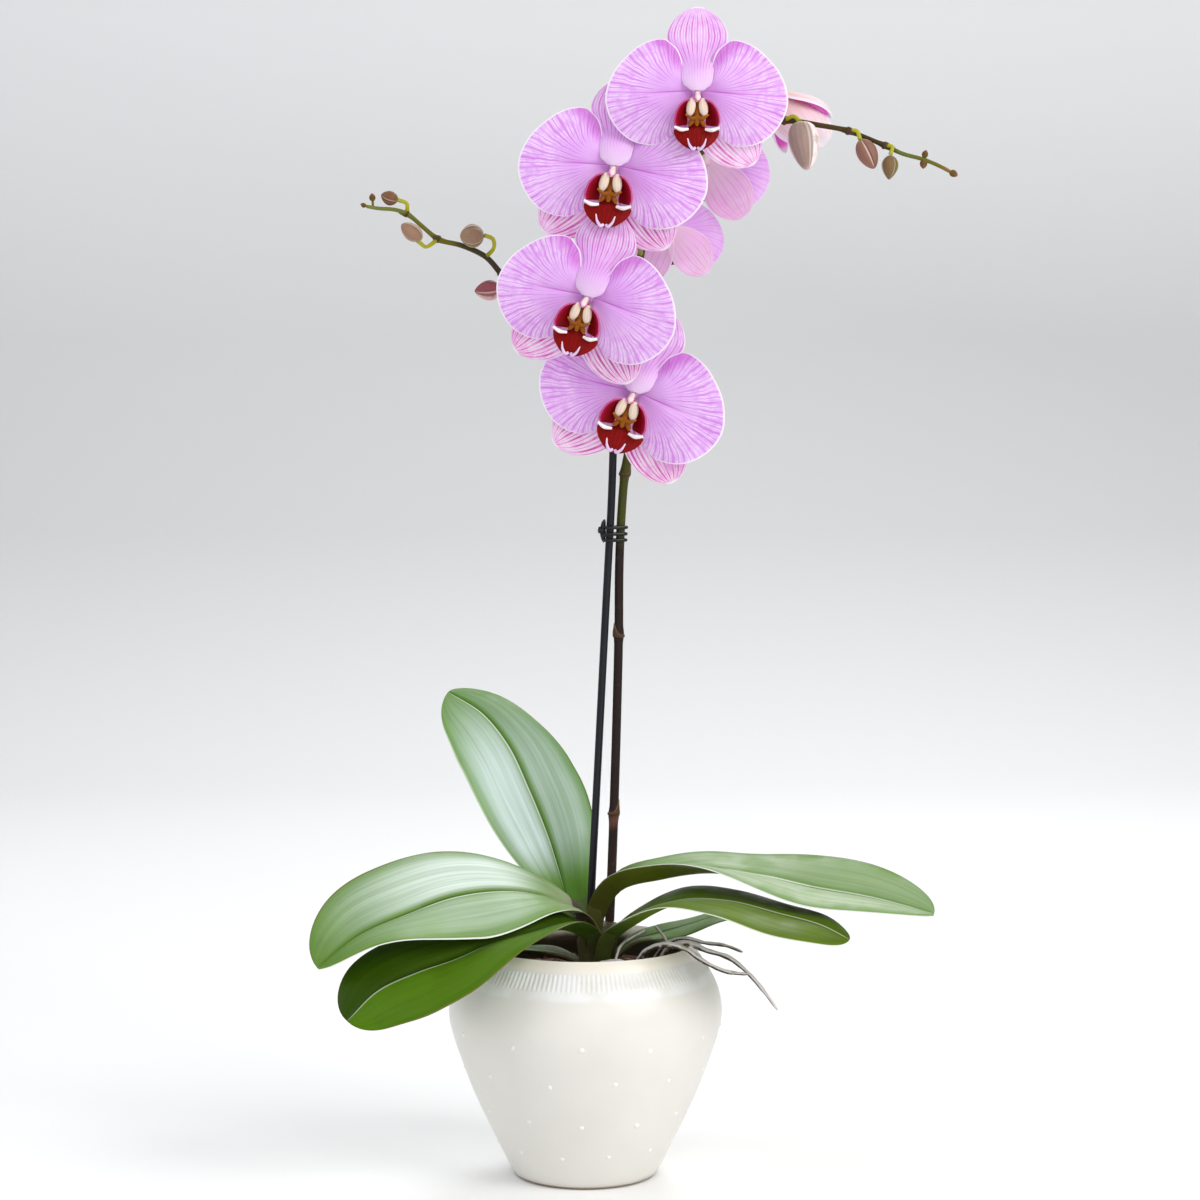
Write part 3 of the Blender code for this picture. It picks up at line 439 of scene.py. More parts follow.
# Leaves
# Thick waxy blades, each folded along a sunk midrib and rounded at the tip, with a smooth thick
# margin. Each breaks from its own sheath on the short stem.
SHEATH_LENGTH = 29.0
# Share of the sheath's length at which the blade begins inside it
BLADE_START = 0.7
# Half the thickness of the blade, what the midrib adds to it and the depth of the midrib's groove
BLADE_THICK, MIDRIB_THICK, GROOVE_DEPTH = 0.95, 0.35, 0.75
# Fold and roll are degrees at even steps along the midrib. Halves, sheen strength, margin tints and rim
# highlights, and tip give a value for the half before the midrib and one for the half after it. The
# halves' two tones are painted light and shade on the two sides of the fold. The sheen is a painted
# reflection in the pale colour, and wears off between the two shares of the length that fade gives. The
# pale margin tints are painted rim highlights.
LEAVES = {
    "leaf_upright": {
        "midrib": [(-2, 9, 122), (-8, 20, 135), (-13, 31, 152), (-20, 38, 174), (-31, 42, 201),
                   (-43, 48, 225), (-57, 54, 241), (-76, 60, 252)],
        "width": 64, "tip": (2.5, 1.7), "fold": (52, 20, 12, -2, -6), "roll": (0, 31, 32, 22, 26),
        "halves": ((0.13, 0.27, 0.035), (0.085, 0.215, 0.010)), "pale": (0.62, 0.74, 0.73),
        "bloom": (1.0, 0.54), "fade": (0.6, 1.1), "under": (0.10, 0.20, 0.04),
        "edges": ((0.42, 0.55, 0.35), (0.09, 0.16, 0.02)), "foot": (0.08, 0.19, 0.02),
    },
    "leaf_upper_left": {
        "midrib": [(4, 0, 121), (-5, -4, 139), (-22, -12, 150), (-43, -24, 155), (-68, -36, 154),
                   (-92, -48, 147), (-116, -60, 138), (-136, -70, 123)],
        "width": 68, "fold": (45, 13, 7, 32, 34), "roll": (0, 24, 38, 30, 18),
        "halves": ((0.12, 0.25, 0.022), (0.105, 0.22, 0.018)), "pale": (0.68, 0.79, 0.71),
        "bloom": (0.5, 1.0), "fade": (0.5, 1.05), "under": (0.12, 0.24, 0.04),
        "edges": ((0.80, 0.82, 0.76), (0.15, 0.13, 0.04)), "foot": (0.26, 0.33, 0.17),
    },
    "leaf_lower_left": {
        "midrib": [(7, -4, 112), (1, -14, 128), (-10, -26, 136), (-31, -42, 135), (-49, -52, 132),
                   (-67, -62, 126), (-86, -70, 121), (-106, -79, 113), (-120, -88, 100)],
        "width": 52, "fold": (50, 35, 18, 5, -7), "roll": (0, 0, 20, 56, 57),
        "halves": ((0.062, 0.15, 0.0010), (0.026, 0.062, 0.0008)), "pale": (0.13, 0.24, 0.02),
        "bloom": (0.3, 0.2), "fade": (0.6, 1.0), "under": (0.08, 0.16, 0.02), "shine": 0.1,
        "edges": ((0.15, 0.15, 0.03), (0.09, 0.08, 0.02)), "foot": (0.05, 0.10, 0.008),
    },
    "leaf_upper_right": {
        "midrib": [(8, 0, 119), (9, -5, 138), (18, -10, 154), (40, -14, 161), (63, -18, 165),
                   (94, -22, 162), (120, -28, 157), (147, -33, 153), (181, -43, 146)],
        "width": 62, "fold": (58, 39, 13, 21, 25), "roll": (0, -2, 8, 26, 9),
        "halves": ((0.085, 0.20, 0.010), (0.10, 0.22, 0.018)), "pale": (0.52, 0.62, 0.44),
        "bloom": (0.42, 0.66), "fade": (0.85, 1.25), "under": (0.125, 0.15, 0.008),
        "edges": ((0.17, 0.10, 0.045), (0.70, 0.72, 0.66)), "foot": (0.06, 0.065, 0.008),
    },
    "leaf_lower_right": {
        "midrib": [(11, -8, 112), (15, -17, 128), (29, -27, 141), (47, -35, 151), (73, -45, 153),
                   (100, -55, 148), (122, -63, 143), (135, -67, 137)],
        "width": 49, "fold": (55, 26, 11, 2, 3), "roll": (0, 8, 9, 13, 24),
        "halves": ((0.066, 0.120, 0.003), (0.085, 0.148, 0.004)), "pale": (0.34, 0.46, 0.17),
        "bloom": (0.05, 0.34), "fade": (0.6, 1.0), "under": (0.10, 0.155, 0.01), "shine": 0.14,
        "edges": ((0.10, 0.14, 0.02), (0.66, 0.70, 0.55)), "foot": (0.05, 0.09, 0.008),
    },
    "leaf_back_right": {
        "midrib": [(14, 6, 112), (27, 9, 122), (41, 11, 126), (57, 15, 130), (72, 20, 134),
                   (85, 24, 138)],
        "width": 29, "fold": (40, 23, 9, 12, 7), "roll": (0, 3, 7, 0, 8),
        "halves": ((0.085, 0.20, 0.006), (0.11, 0.25, 0.010)), "pale": (0.25, 0.42, 0.13),
        "bloom": (0.25, 0.25), "fade": (0.6, 1.0), "under": (0.07, 0.16, 0.015),
        "edges": ((0.12, 0.17, 0.03), (0.14, 0.20, 0.04)), "foot": (0.07, 0.14, 0.02),
    },
    "leaf_low_left": {
        "midrib": [(0, 6, 110), (-12, 8, 114), (-24, 11, 116), (-36, 15, 116), (-45, 19, 115)],
        "width": 20, "fold": (40, 32, 25, 20, 15), "roll": (0, 0, 0, 0, 0),
        "halves": ((0.05, 0.13, 0.004), (0.04, 0.11, 0.003)), "pale": (0.12, 0.22, 0.05),
        "bloom": (0.2, 0.2), "fade": (0.6, 1.0), "under": (0.06, 0.11, 0.015),
        "edges": ((0.09, 0.10, 0.02), (0.09, 0.10, 0.02)), "foot": (0.05, 0.07, 0.015),
    },
}


def eased(values, reach=14):
    """Each of a row of values as the mean of those up to the reach either side, twice over."""
    for _ in range(2):
        padded = np.concatenate([[values[0]] * reach, values, [values[-1]] * reach])
        total = np.concatenate([0 * padded[:1], np.cumsum(padded, axis=0)])
        values = (total[2 * reach + 1:] - total[:-2 * reach - 1]) / (2 * reach + 1)
    return values


def leaf_surface(spec, start, stop, rows, columns, crowding):
    """Middle surface of a part of a leaf. Half the width grows with a sine from the base, and from
    0.6 of the length closes with a root, each side by its own power. Each half rises with the fold
    and sinks with the square of the distance from the midrib, and the strip rolls about the midrib.
    Above 1, crowding sets the rows closer together towards the end."""
    path = smooth_path(spec["midrib"], 160)
    even_steps = np.linspace(0, 1, len(path))
    run = np.concatenate([[0], np.cumsum(np.linalg.norm(np.diff(path, axis=0), axis=1))])
    s = start + (stop - start) * (1 - (1 - np.linspace(0, 1, rows)) ** crowding)
    tangents = unit(eased(np.gradient(path, axis=0)))
    centre = np.stack([np.interp(s * run[-1], run, path[:, k]) for k in range(3)], axis=1)
    ahead = unit(np.stack([np.interp(s * run[-1], run, tangents[:, k]) for k in range(3)], axis=1))
    heading = unit((path[-1] - path[0]) * (1, 1, 0))
    side = unit(np.cross(ahead, np.array([0, 0, 1.0]) - 0.8 * heading))
    lift = np.cross(side, ahead)
    table_steps = np.linspace(0, 1, len(spec["fold"]))
    roll, fold = [eased(np.interp(even_steps, table_steps, spec[k])) for k in ("roll", "fold")]
    roll = np.radians(np.interp(s, even_steps, roll))[:, None] * (1 if heading[0] > 0 else -1)
    side, lift = side * np.cos(roll) - lift * np.sin(roll), lift * np.cos(roll) + side * np.sin(roll)
    grown = 0.34 + 0.66 * np.sin(np.clip((s - 0.04) / 0.5, 0, 1) * math.pi / 2) ** 1.6
    fold = np.radians(np.interp(s, even_steps, fold))[:, None]
    u = np.linspace(-1, 1, columns)[None, :]
    u = np.sign(u) * (1 - (1 - np.abs(u)) ** 1.35)
    ending = np.clip((s - 0.6) / 0.4, 0, 1)[:, None] ** np.where(u < 0, *spec.get("tip", (2.8, 2.8)))
    half = (spec["width"] / 2 * grown)[:, None] * np.sqrt(np.clip(1 - ending, 0.0004, 1))
    out = half * u * np.cos(fold)
    up = half * (np.abs(u) * np.sin(fold) - 0.16 * u**2)
    places = centre[:, None] + side[:, None] * out[..., None] + lift[:, None] * up[..., None]
    return places, s, u[0]


def blade(shape, middle, half_thick, u, s, finish, dent=None, face_to=None):
    """A closed sheet about a middle surface: rings that run across its face and back under it, as
    far apart as the thickness there. A strip closes the first and the last ring. Dent lowers the
    face alone. With a direction given, the face is the side that looks that way. The back takes the
    finish after the face's."""
    half = np.asarray(half_thick)[..., None] + 0 * middle[..., :1]
    normal = unit(np.cross(np.gradient(middle, axis=0), np.gradient(middle, axis=1)))
    if face_to is not None and (normal @ np.asarray(face_to, float)).mean() < 0:
        middle, half, u, normal = middle[:, ::-1], half[:, ::-1], u[::-1], -normal[:, ::-1]
    face, back = middle + normal * half, middle - normal * half
    if dent is not None:
        face = face - normal * dent[..., None]
    rings = np.concatenate([face, back[:, -2:0:-1]], axis=1)
    rows, sides = rings.shape[:2]
    across = np.concatenate([u, u[-2:0:-1]])
    uv = np.stack(np.broadcast_arrays(across[None, :] * 0.5 + 0.5, np.asarray(s)[:, None]), axis=-1)
    quads, columns = ring_faces(rows, sides)[0], middle.shape[1]
    under = (np.arange(len(quads)) % sides >= columns - 1).astype(int)
    j = np.arange(1, columns - 2)
    strip = np.stack([j, j + 1, sides - j - 1, sides - j], axis=-1)
    ends = np.array([(0, 1, sides - 1), (columns - 2, columns - 1, columns)])
    last = (rows - 1) * sides
    shape.add(rings, [quads, strip[:, ::-1], ends[:, ::-1], strip + last, ends + last], uv,
              [finish + under, finish, finish, finish, finish])


def streak_group():
    """Long streaks that follow a blade: a noise read at Count times the place across it, which
    changes slowly along it, as broad streaks and as fine ones."""
    f, given, out = shared("long streaks", ("Across", "Along", "Count"), ("Broad", "Fine"))
    slow = f.times(given["Along"], 1.4)
    for name, times, low, high in (("Broad", 1.0, 0.38, 0.62), ("Fine", 3.6, 0.42, 0.68)):
        across = f.times(given["Across"], f.times(given["Count"], times))
        place = f.node("CombineXYZ", [(0, across), (1, slow)]).outputs[0]
        value = f.node("TexNoise", [("Vector", place), ("Scale", 1.0), ("Detail", 2.0)]).outputs["Fac"]
        f.put(out[name], f.between(value, low, high))
    return f.tree


STREAKS = streak_group()


def leaf_finish(name, spec, top):
    """Waxy green with soft streaks along the blade, halves in two tones as painted light and shade, a
    sunk midrib darkened as painted shade beside a pale line that is partly a paler midrib and partly a
    painted highlight, a painted sheen that differs from half to half, a margin tint that is a painted
    rim highlight where it is pale, and a tinted foot."""
    f = Finish(name, Coat_Weight=0.04 if top else 0.0, Coat_Roughness=0.35,
               Specular_IOR_Level=spec.get("shine", 0.2))
    across, along = f.pattern()
    u = f.times(f.minus(across, 0.5), 2.0)
    away = f.absolute(u)
    half = f.between(u, -0.02, 0.02)
    streak = f.group(STREAKS, Across=across, Along=along, Count=16.0)
    broad, fine = streak["Broad"], streak["Fine"]
    mottle, grain = f.patches(60.0, 0.4, 0.75, 0.4)
    # Painted light and shade: the two halves of the fold take a lighter and a darker tone.
    bodies = spec["halves"] if top else (spec["under"],) * 2
    body = f.mix(half, *bodies)
    tone = f.mix(f.times(broad, 0.35), body, f.mix(half, *[scaled(b, 0.66) for b in bodies]))
    tone = f.mix(mottle, tone, f.mix(half, *[scaled(b, 1.3) for b in bodies]))
    if top:
        # Painted sheen: a pale tint that stands for light reflected off the leaf's top.
        painted_sheen = f.times(f.between(away, 0.01, 0.16), f.between(along, *reversed(spec["fade"])))
        painted_sheen = f.times(painted_sheen, f.between(away, 1.1, 0.6))
        painted_sheen = f.times(painted_sheen, f.between(along, spec["share"] + 0.02, spec["share"] + 0.22))
        before, after = spec["bloom"]
        painted_sheen = f.times(painted_sheen, f.times_plus(half, after - before, before))
        gaps = f.times(f.times_plus(fine, -0.18, 1.0), f.times_plus(broad, -0.24, 1.0))
        tone = f.mix(f.times(painted_sheen, gaps), tone, spec["pale"])
        # Pale line beside the midrib: partly a paler midrib, partly a painted highlight.
        line = f.times(f.between(u, -0.06, -0.03), f.between(u, 0.0, -0.02))
        tone = f.mix(f.times(line, 0.75), tone, tuple(0.4 + 0.6 * c for c in spec["pale"]))
        # Painted shade: the sunk midrib groove is darkened.
        groove = f.between(away, 0.032, 0.008, 0.0, 0.75)
        tone = f.mix(groove, tone, scaled(spec["halves"][1], 0.45))
    else:
        rib = tuple(min(c * 1.9, 0.6) for c in spec["under"])
        tone = f.mix(f.between(away, 0.07, 0.0, 0.0, 0.6), tone, rib)
    # Margins: dark tints are the leaf's own margin, pale tints are painted rim highlights.
    tone = f.mix(f.between(away, 0.962, 0.985), tone, f.mix(half, *spec["edges"]))
    foot = f.between(f.times_plus(grain, 0.06, along), 0.33, 0.16)
    f.colour(f.mix(foot, tone, spec["foot"]))
    f.rough(f.plus(mottle, 0.38 if top else 0.5))
    f.bump(f.plus(broad, f.times(fine, 0.5)), 0.2, 0.14)
    return f.material


for name, spec in LEAVES.items():
    length = np.linalg.norm(np.diff(smooth_path(spec["midrib"], 80), axis=0), axis=1).sum()
    spec["share"] = SHEATH_LENGTH / length
    middle, s, u = leaf_surface(spec, spec["share"] * BLADE_START, 1.0, 70, 29, 1.4)
    thick = BLADE_THICK * np.sqrt(np.clip(1 - np.abs(u) ** 3, 0, 1))
    thick = thick + MIDRIB_THICK * np.exp(-(u / 0.12) ** 2)
    ease = np.clip((1 - s) / 0.012, 0, 1)[:, None] ** 0.5
    groove = GROOVE_DEPTH * np.exp(-(u / 0.045) ** 2)[None, :] * ease
    shape = Shape()
    blade(shape, middle[:, ::-1], thick[None, :] * (0.3 + 0.7 * ease), u[::-1], s, 0, groove)
    looks = [leaf_finish(name + "_top", spec, True), leaf_finish(name + "_under", spec, False)]
    made(name + "_blade", shape, looks, [name])

# Short stem
# The stem itself hides under its leaf bases. Each base is a stiff sheath, purple brown to olive,
# folded round the one inside it.
SHEATH_THICK = 1.3
# Middle, half the width, half the depth and height of the stem's levels
CROWN = [
    (6.0, 3.0, 6.0, 5.0, 92.0), (6.0, 3.0, 8.0, 7.0, 104.0), (6.0, 4.0, 10.0, 9.0, 118.0),
    (6.5, 5.0, 11.0, 10.0, 128.0), (7.0, 6.0, 10.0, 9.0, 133.0),
]
SHEATH_TINTS = {
    "leaf_upright": (0.10, 0.16, 0.04), "leaf_upper_left": (0.085, 0.05, 0.045),
    "leaf_lower_left": (0.07, 0.11, 0.02), "leaf_upper_right": (0.085, 0.095, 0.015),
    "leaf_lower_right": (0.085, 0.13, 0.02), "leaf_back_right": (0.09, 0.15, 0.03),
    "leaf_low_left": (0.06, 0.09, 0.02),
}


def sheath_finish(name, tint):
    """Mottled along its length, with faint ribs and a paler dry margin."""
    f = Finish(name, Roughness=0.5, Specular_IOR_Level=0.25)
    across, along = f.pattern()
    blotchy, blotch = f.patches(140.0, 0.4, 0.75, 0.5, (1.0, 1.0, 0.4))
    tone = f.mix(blotchy, tint, (0.085, 0.045, 0.035))
    away = f.absolute(f.minus(across, 0.5))
    tone = f.mix(f.between(away, 0.465, 0.49, 0.0, 0.7), tone, (0.24, 0.17, 0.09))
    ribs = f.group(STREAKS, Across=across, Along=along, Count=20.0)["Fine"]
    f.colour(f.mix(f.times(ribs, 0.35), tone, (0.12, 0.14, 0.03)))
    f.bump(f.plus(ribs, blotch), 0.3, 0.3)
    return f.material


crown = Shape()
rows, sides = 18, 28
levels = smooth_path(CROWN, rows)
turn = np.arange(sides) * 2 * math.pi / sides
core = np.stack([levels[:, :1] + levels[:, 2:3] * np.cos(turn),
                 levels[:, 1:2] + levels[:, 3:4] * np.sin(turn),
                 levels[:, 4:] + 0 * turn], axis=-1)
crown.add(core, ring_faces(rows, sides), even_uv(rows, sides))
looks = [sheath_finish("stem_core", (0.09, 0.08, 0.03))]
for name, spec in LEAVES.items():
    middle, s, u = leaf_surface(spec, 0.0, spec["share"], 14, 21, 1.0)
    along = (s / spec["share"])[:, None]
    thick = SHEATH_THICK * np.sqrt(np.clip(1 - np.abs(u) ** 4, 0, 1))[None, :]
    thick = thick * (1 - 0.62 * np.clip((along - 0.6) / 0.4, 0, 1) ** 1.5)
    looks.append(sheath_finish(name + "_sheath", SHEATH_TINTS[name]))
    part = Shape()
    blade(part, middle, thick, u, s / spec["share"], 0)
    crown.add(part.points[0], part.faces, part.uv[0], len(looks) - 1)
made("stem_and_sheaths", crown, looks, ["crown"])

# Roots
# Aerial roots in a silvery spongy skin with green patches, dark brown underneath as painted shade. They
# come up out of the bark, and the long ones lie over the rim and end in the air.

# Points, thickness at the foot and thickness at the end of each root
ROOTS = {
    "root_1": ([(22, -20, 104), (27, -25, 116), (34, -31, 126), (43, -35, 129), (53, -38, 127),
                (61, -42, 122), (73, -46, 117), (85, -49, 116)], 3.9, 1.8),
    "root_2": ([(37, -17, 104), (40, -22, 118), (46, -27, 127), (54, -30, 129), (62, -32, 126),
                (76, -37, 122), (86, -41, 114), (94, -45, 105), (100, -48, 97)], 3.9, 1.6),
    "root_3": ([(33, -3, 103), (37, -8, 116), (44, -13, 126), (53, -17, 129), (63, -19, 127),
                (74, -22, 126), (83, -24, 123)], 3.2, 1.6),
    "root_4": ([(14, -26, 104), (16, -24, 118), (19, -22, 126), (26, -22, 131), (32, -20, 134)],
               1.7, 1.2),
    "root_5": ([(43, -2, 104), (44, -7, 118), (42, -9, 128), (37, -6, 134)], 2.2, 1.3),
    "root_6": ([(-2, -27, 104), (5, -26, 115), (14, -30, 119), (24, -35, 118), (33, -39, 115),
                (38, -40, 104)], 3.0, 2.4),
}


def stem_rings(path, reach, sides):
    """Rings square to a path at the given distance, which carry one side direction along so that
    they don't twist, and each ring's outward directions."""
    path = np.asarray(path, float)
    tangent = unit(np.gradient(path, axis=0))
    side = unit(np.cross(tangent[0], (0.3, 1.0, 0.2)))
    sides_at = []
    for ahead in tangent:
        side = unit(side - ahead * np.dot(side, ahead))
        sides_at.append(side)
    side = np.array(sides_at)
    other = np.cross(tangent, side)
    turn = np.arange(sides) * 2 * math.pi / sides
    out = (np.cos(turn)[None, :, None] * side[:, None] + np.sin(turn)[None, :, None] * other[:, None])
    reach = np.asarray(reach, float)
    reach = reach[:, None] if reach.ndim == 1 else reach
    return path[:, None] + reach[..., None] * out, out


def root_finish(name, body, below):
    """Silver skin, dark brown on the underside as painted shade, with green patches and white scuffs
    here and there.
    """
    f = Finish(name, Roughness=0.75, Specular_IOR_Level=0.2)
    upward, _ = f.pattern()
    patchy, patch = f.patches(110.0, 0.55, 0.72, 0.5)
    worn, grain = f.patches(420.0, 0.55, 0.75, 0.6)
    low = f.plus(upward, f.times(f.minus(patch, 0.5), 0.7))
    # Painted shade: the skin turns to the dark underside colour where it faces down.
    tone = f.mix(f.between(low, 0.38, 0.68), below, body)
    tone = f.mix(patchy, tone, (0.13, 0.13, 0.05))
    f.colour(f.mix(worn, tone, (0.80, 0.78, 0.76)))
    f.bump(grain, 0.4, 0.5)
    return f.material


silver_skin = root_finish("root_skin", (0.76, 0.71, 0.71), (0.06, 0.036, 0.018))
pale_skin = root_finish("rootlet_skin", (0.90, 0.88, 0.83), (0.30, 0.25, 0.15))
for k, (name, (points, thick, thin)) in enumerate(ROOTS.items()):
    rows, sides = 14 * len(points), 14
    path = smooth_path(points, rows)
    t = np.linspace(0, 1, rows)
    reach = np.interp(t, [0, 1], [thick / 2, thin / 2])
    reach = reach * (1 + 0.10 * np.sin(t * 31 + k) + 0.06 * np.sin(t * 73 + 2 * k))
    reach = reach * np.sqrt(np.clip((1 - t) / 0.03, 0.02, 1))
    turn = np.arange(sides) * 2 * math.pi / sides
    ridged = reach[:, None] * (1 + 0.07 * np.sin(3 * turn + 9 * t[:, None] + k))
    rings, out = stem_rings(path, ridged, sides)
    uv = np.stack([0.5 + 0.5 * out[..., 2], np.tile(t[:, None], (1, sides))], axis=-1)
    shape = Shape()
    shape.add(rings, ring_faces(rows, sides), uv)
    skin = pale_skin if name in ("root_4", "root_5") else silver_skin
    made(name + "_skin", shape, [skin], [name])

# Stake
# A coated steel rod in satin black, pushed into the bark beside the spike and leaning to it. Its
# top is domed.
STAKE = [(0.0, 20.5, 62.0), (3.4, 18.0, 152.0), (6.7, 15.2, 218.0), (9.9, 11.8, 282.0),
         (12.3, 9.3, 329.0), (13.6, 8.0, 353.0), (15.2, 5.7, 399.0)]
STAKE_WIDTH, STAKE_SIDES = 4.1, 20


def plastic(name, tone, roughness):
    """Dark plastic, scuffed a little lighter and rougher in places."""
    f = Finish(name, Coat_Weight=0.05, Coat_Roughness=0.2, Specular_IOR_Level=0.3)
    scuff, _ = f.patches(90.0, 0.4, 0.8, 1.0, (1.0, 1.0, 0.3))
    f.colour(f.mix(f.times(scuff, 0.5), tone, tuple(c * 2.0 + 0.002 for c in tone)))
    f.rough(f.times_plus(scuff, 0.2, roughness))
    f.bump(f.noise(900.0, 2.0), 0.15, 0.15)
    return f.material


def rod(path, width, sides):
    """A round rod whose last rings draw in as a quarter circle."""
    t = np.linspace(0, 1, len(path))
    left = (1 - t) * np.linalg.norm(np.diff(path, axis=0), axis=1).sum()
    reach = width / 2 * np.sqrt(np.clip(1 - np.clip(1 - left / (width / 2), 0, 0.99) ** 2, 0, 1))
    return stem_rings(path, reach, sides)[0]


# The rings lie closer together over the dome
stake_path = np.concatenate([smooth_path(STAKE, 90)[:-1], smooth_path(STAKE, 900)[-9:]])
shape = Shape()
shape.add(rod(stake_path, STAKE_WIDTH, STAKE_SIDES), ring_faces(len(stake_path), STAKE_SIDES),
          even_uv(len(stake_path), STAKE_SIDES))
made("stake_rod", shape, [plastic("stake_black", (0.004, 0.004, 0.008), 0.3)], ["stake"])

# Flower spike
# The spike grows from between the leaves, dark below and olive above, and arches over to the right
# with one side branch to the left. Papery scales clasp its joints.
SPIKE = [
    (13.0, 11.0, 133.4), (14.2, 12.0, 162.0), (15.2, 12.0, 191.0), (17.0, 12.0, 252.0),
    (17.8, 12.0, 288.0), (18.2, 11.0, 329.0), (19.0, 10.5, 348.0), (21.3, 9.0, 376.0),
    (25.0, 7.0, 397.0), (28.0, 5.0, 423.0), (30.0, 3.0, 455.0), (29.5, 1.0, 490.0),
    (39.0, 0.0, 515.0), (59.0, 0.0, 541.0), (84.0, 0.0, 555.0), (104.3, 0.0, 559.0),
    (122.0, -2.0, 556.5), (138.0, -3.0, 553.3), (147.5, -4.0, 549.6), (157.0, -5.0, 545.5),
    (166.0, -5.0, 541.4), (177.0, -6.0, 538.3), (187.5, -6.0, 533.8), (193.0, -6.0, 530.7),
]
# Width at shares of the length, and how far the stem swells at a joint
SPIKE_WIDTHS = ((0.0, 5.0), (0.45, 4.6), (0.62, 4.0), (0.8, 3.2), (1.0, 1.9))
SPIKE_SWELL, BRANCH_SWELL = 0.55, 0.4
BRANCH = [
    (28.0, 5.0, 423.0), (18.0, 9.0, 440.0), (0.0, 12.0, 454.0), (-19.0, 13.5, 464.0),
    (-35.0, 13.0, 472.0), (-43.1, 12.0, 478.2), (-52.6, 10.0, 488.4), (-65.2, 9.0, 494.3),
    (-77.8, 8.0, 497.7), (-85.7, 7.0, 504.0), (-94.1, 7.0, 510.8), (-97.7, 6.0, 512.3),
    (-110.9, 6.0, 513.9), (-116.1, 6.0, 514.9),
]
BRANCH_WIDTHS = ((0.0, 3.4), (0.6, 3.1), (1.0, 1.9))
DARK, ROSE, OLIVE = (0.018, 0.010, 0.009), (0.13, 0.050, 0.036), (0.050, 0.055, 0.008)
GREEN = (0.128, 0.118, 0.005)
# Place of each joint, how high the point of its scale rises and how far round that is, in degrees
SPIKE_JOINTS = [((15.0, 12.0, 191.0), 7.0, 200), ((17.9, 11.8, 288.0), 6.0, 20),
                ((21.1, 9.1, 374.0), 10.0, 250)]
ARM_JOINTS = [((104.3, 0.0, 559.0), 4.0, 0), ((138.0, -3.0, 553.3), 4.0, 90),
              ((157.0, -5.0, 545.5), 5.0, 0)]
BRANCH_JOINTS = [((-43.1, 12.0, 478.2), 3.0, 0), ((-77.8, 8.0, 497.7), 2.6, 90),
                 ((-94.1, 7.0, 510.8), 3.4, 0)]


def stem_finish(name, marks):
    """Colours along the stem, with fine speckles and lengthwise fibres."""
    f = Finish(name, Roughness=0.45, Specular_IOR_Level=0.14)
    _, along = f.pattern()
    speck, _ = f.patches(500.0, 0.6, 0.8, 0.2)
    drift = f.times(f.minus(f.patches(45.0, 0.0, 1.0)[1], 0.5), 0.05)
    tone = f.stops(f.plus(along, drift), marks)
    f.colour(f.mix(speck, tone, (0.25, 0.20, 0.13)))
    f.bump(f.noise(260.0, 3.0, (1, 1, 0.2)), 0.25, 0.4)
    return f.material


def stem_part(shape, points, table, rows, joints, swell, sides=16):
    """A stem whose width follows a table and swells at its joints in a bell of 3 mm."""
    path = smooth_path(points, rows)
    at, width = zip(*table)
    t = np.linspace(0, 1, rows)
    reach = np.interp(t, at, width) / 2
    for place, _, _ in joints:
        near = np.linalg.norm(path - place, axis=1)
        reach = reach + swell * np.exp(-(near / 3.0) ** 2)
    reach = reach * np.sqrt(np.clip((1 - t) / 0.006, 0.03, 1))
    shape.add(stem_rings(path, reach, sides)[0], ring_faces(rows, sides), even_uv(rows, sides))
    return path, reach


def scale_part(shape, path, reach, joint, finish):
    """A scale that clasps a joint: a sleeve just outside the stem, as high as a narrow bell of the
    turn about the stem, and thin at its rim."""
    place, tall, aim = joint
    sides = 20
    start = int(np.argmin(np.linalg.norm(path - place, axis=1)))
    step = np.linalg.norm(np.diff(path[:2], axis=0))
    turn = np.arange(sides) * 2 * math.pi / sides
    height = 1.6 + tall * (0.5 + 0.5 * np.cos(turn - math.radians(aim))) ** 3
    lift = np.array([0.0, 0.0, 0.15, 0.4, 0.7, 0.95, 1.0, 1.0])[:, None] * height
    out = np.array([-0.5, 0.25, 0.42, 0.45, 0.4, 0.36, 0.2, -0.3])
    where = np.clip(start - 1.0 / step + lift / step, 0, len(path) - 1)
    directions = stem_rings(path, reach, sides)[1]
    steps = np.arange(len(path))
    centre = np.stack([np.interp(where, steps, path[:, k]) for k in range(3)], axis=-1)
    near = np.clip(np.rint(where).astype(int), 0, len(path) - 1)
    side = directions[near, np.arange(sides)[None, :]]
    away = np.interp(where, steps, reach) + out[:, None]
    shape.add(centre + away[..., None] * side, ring_faces(len(out), sides), even_uv(len(out), sides),
              finish)


scale_skin = stem_finish("scale_skin", [(0.0, (0.05, 0.024, 0.014)), (0.75, (0.09, 0.045, 0.025)),
                                        (1.0, (0.40, 0.30, 0.18))])
spike_marks = [(0.0, (0.05, 0.03, 0.02)), (0.088, DARK), (0.101, ROSE), (0.113, DARK), (0.36, DARK),
               (0.375, OLIVE), (0.6, OLIVE), (0.78, (0.060, 0.038, 0.008)),
               (0.925, (0.052, 0.034, 0.007)), (0.942, (0.12, 0.14, 0.03)), (0.98, GREEN),
               (1.0, (0.30, 0.12, 0.04))]
shape = Shape()
path, reach = stem_part(shape, SPIKE, SPIKE_WIDTHS, 300, SPIKE_JOINTS + ARM_JOINTS, SPIKE_SWELL)
for joint in SPIKE_JOINTS + ARM_JOINTS:
    scale_part(shape, path, reach, joint, 1)
made("spike_stem", shape, [stem_finish("spike_skin", spike_marks), scale_skin], ["flower_spike"])
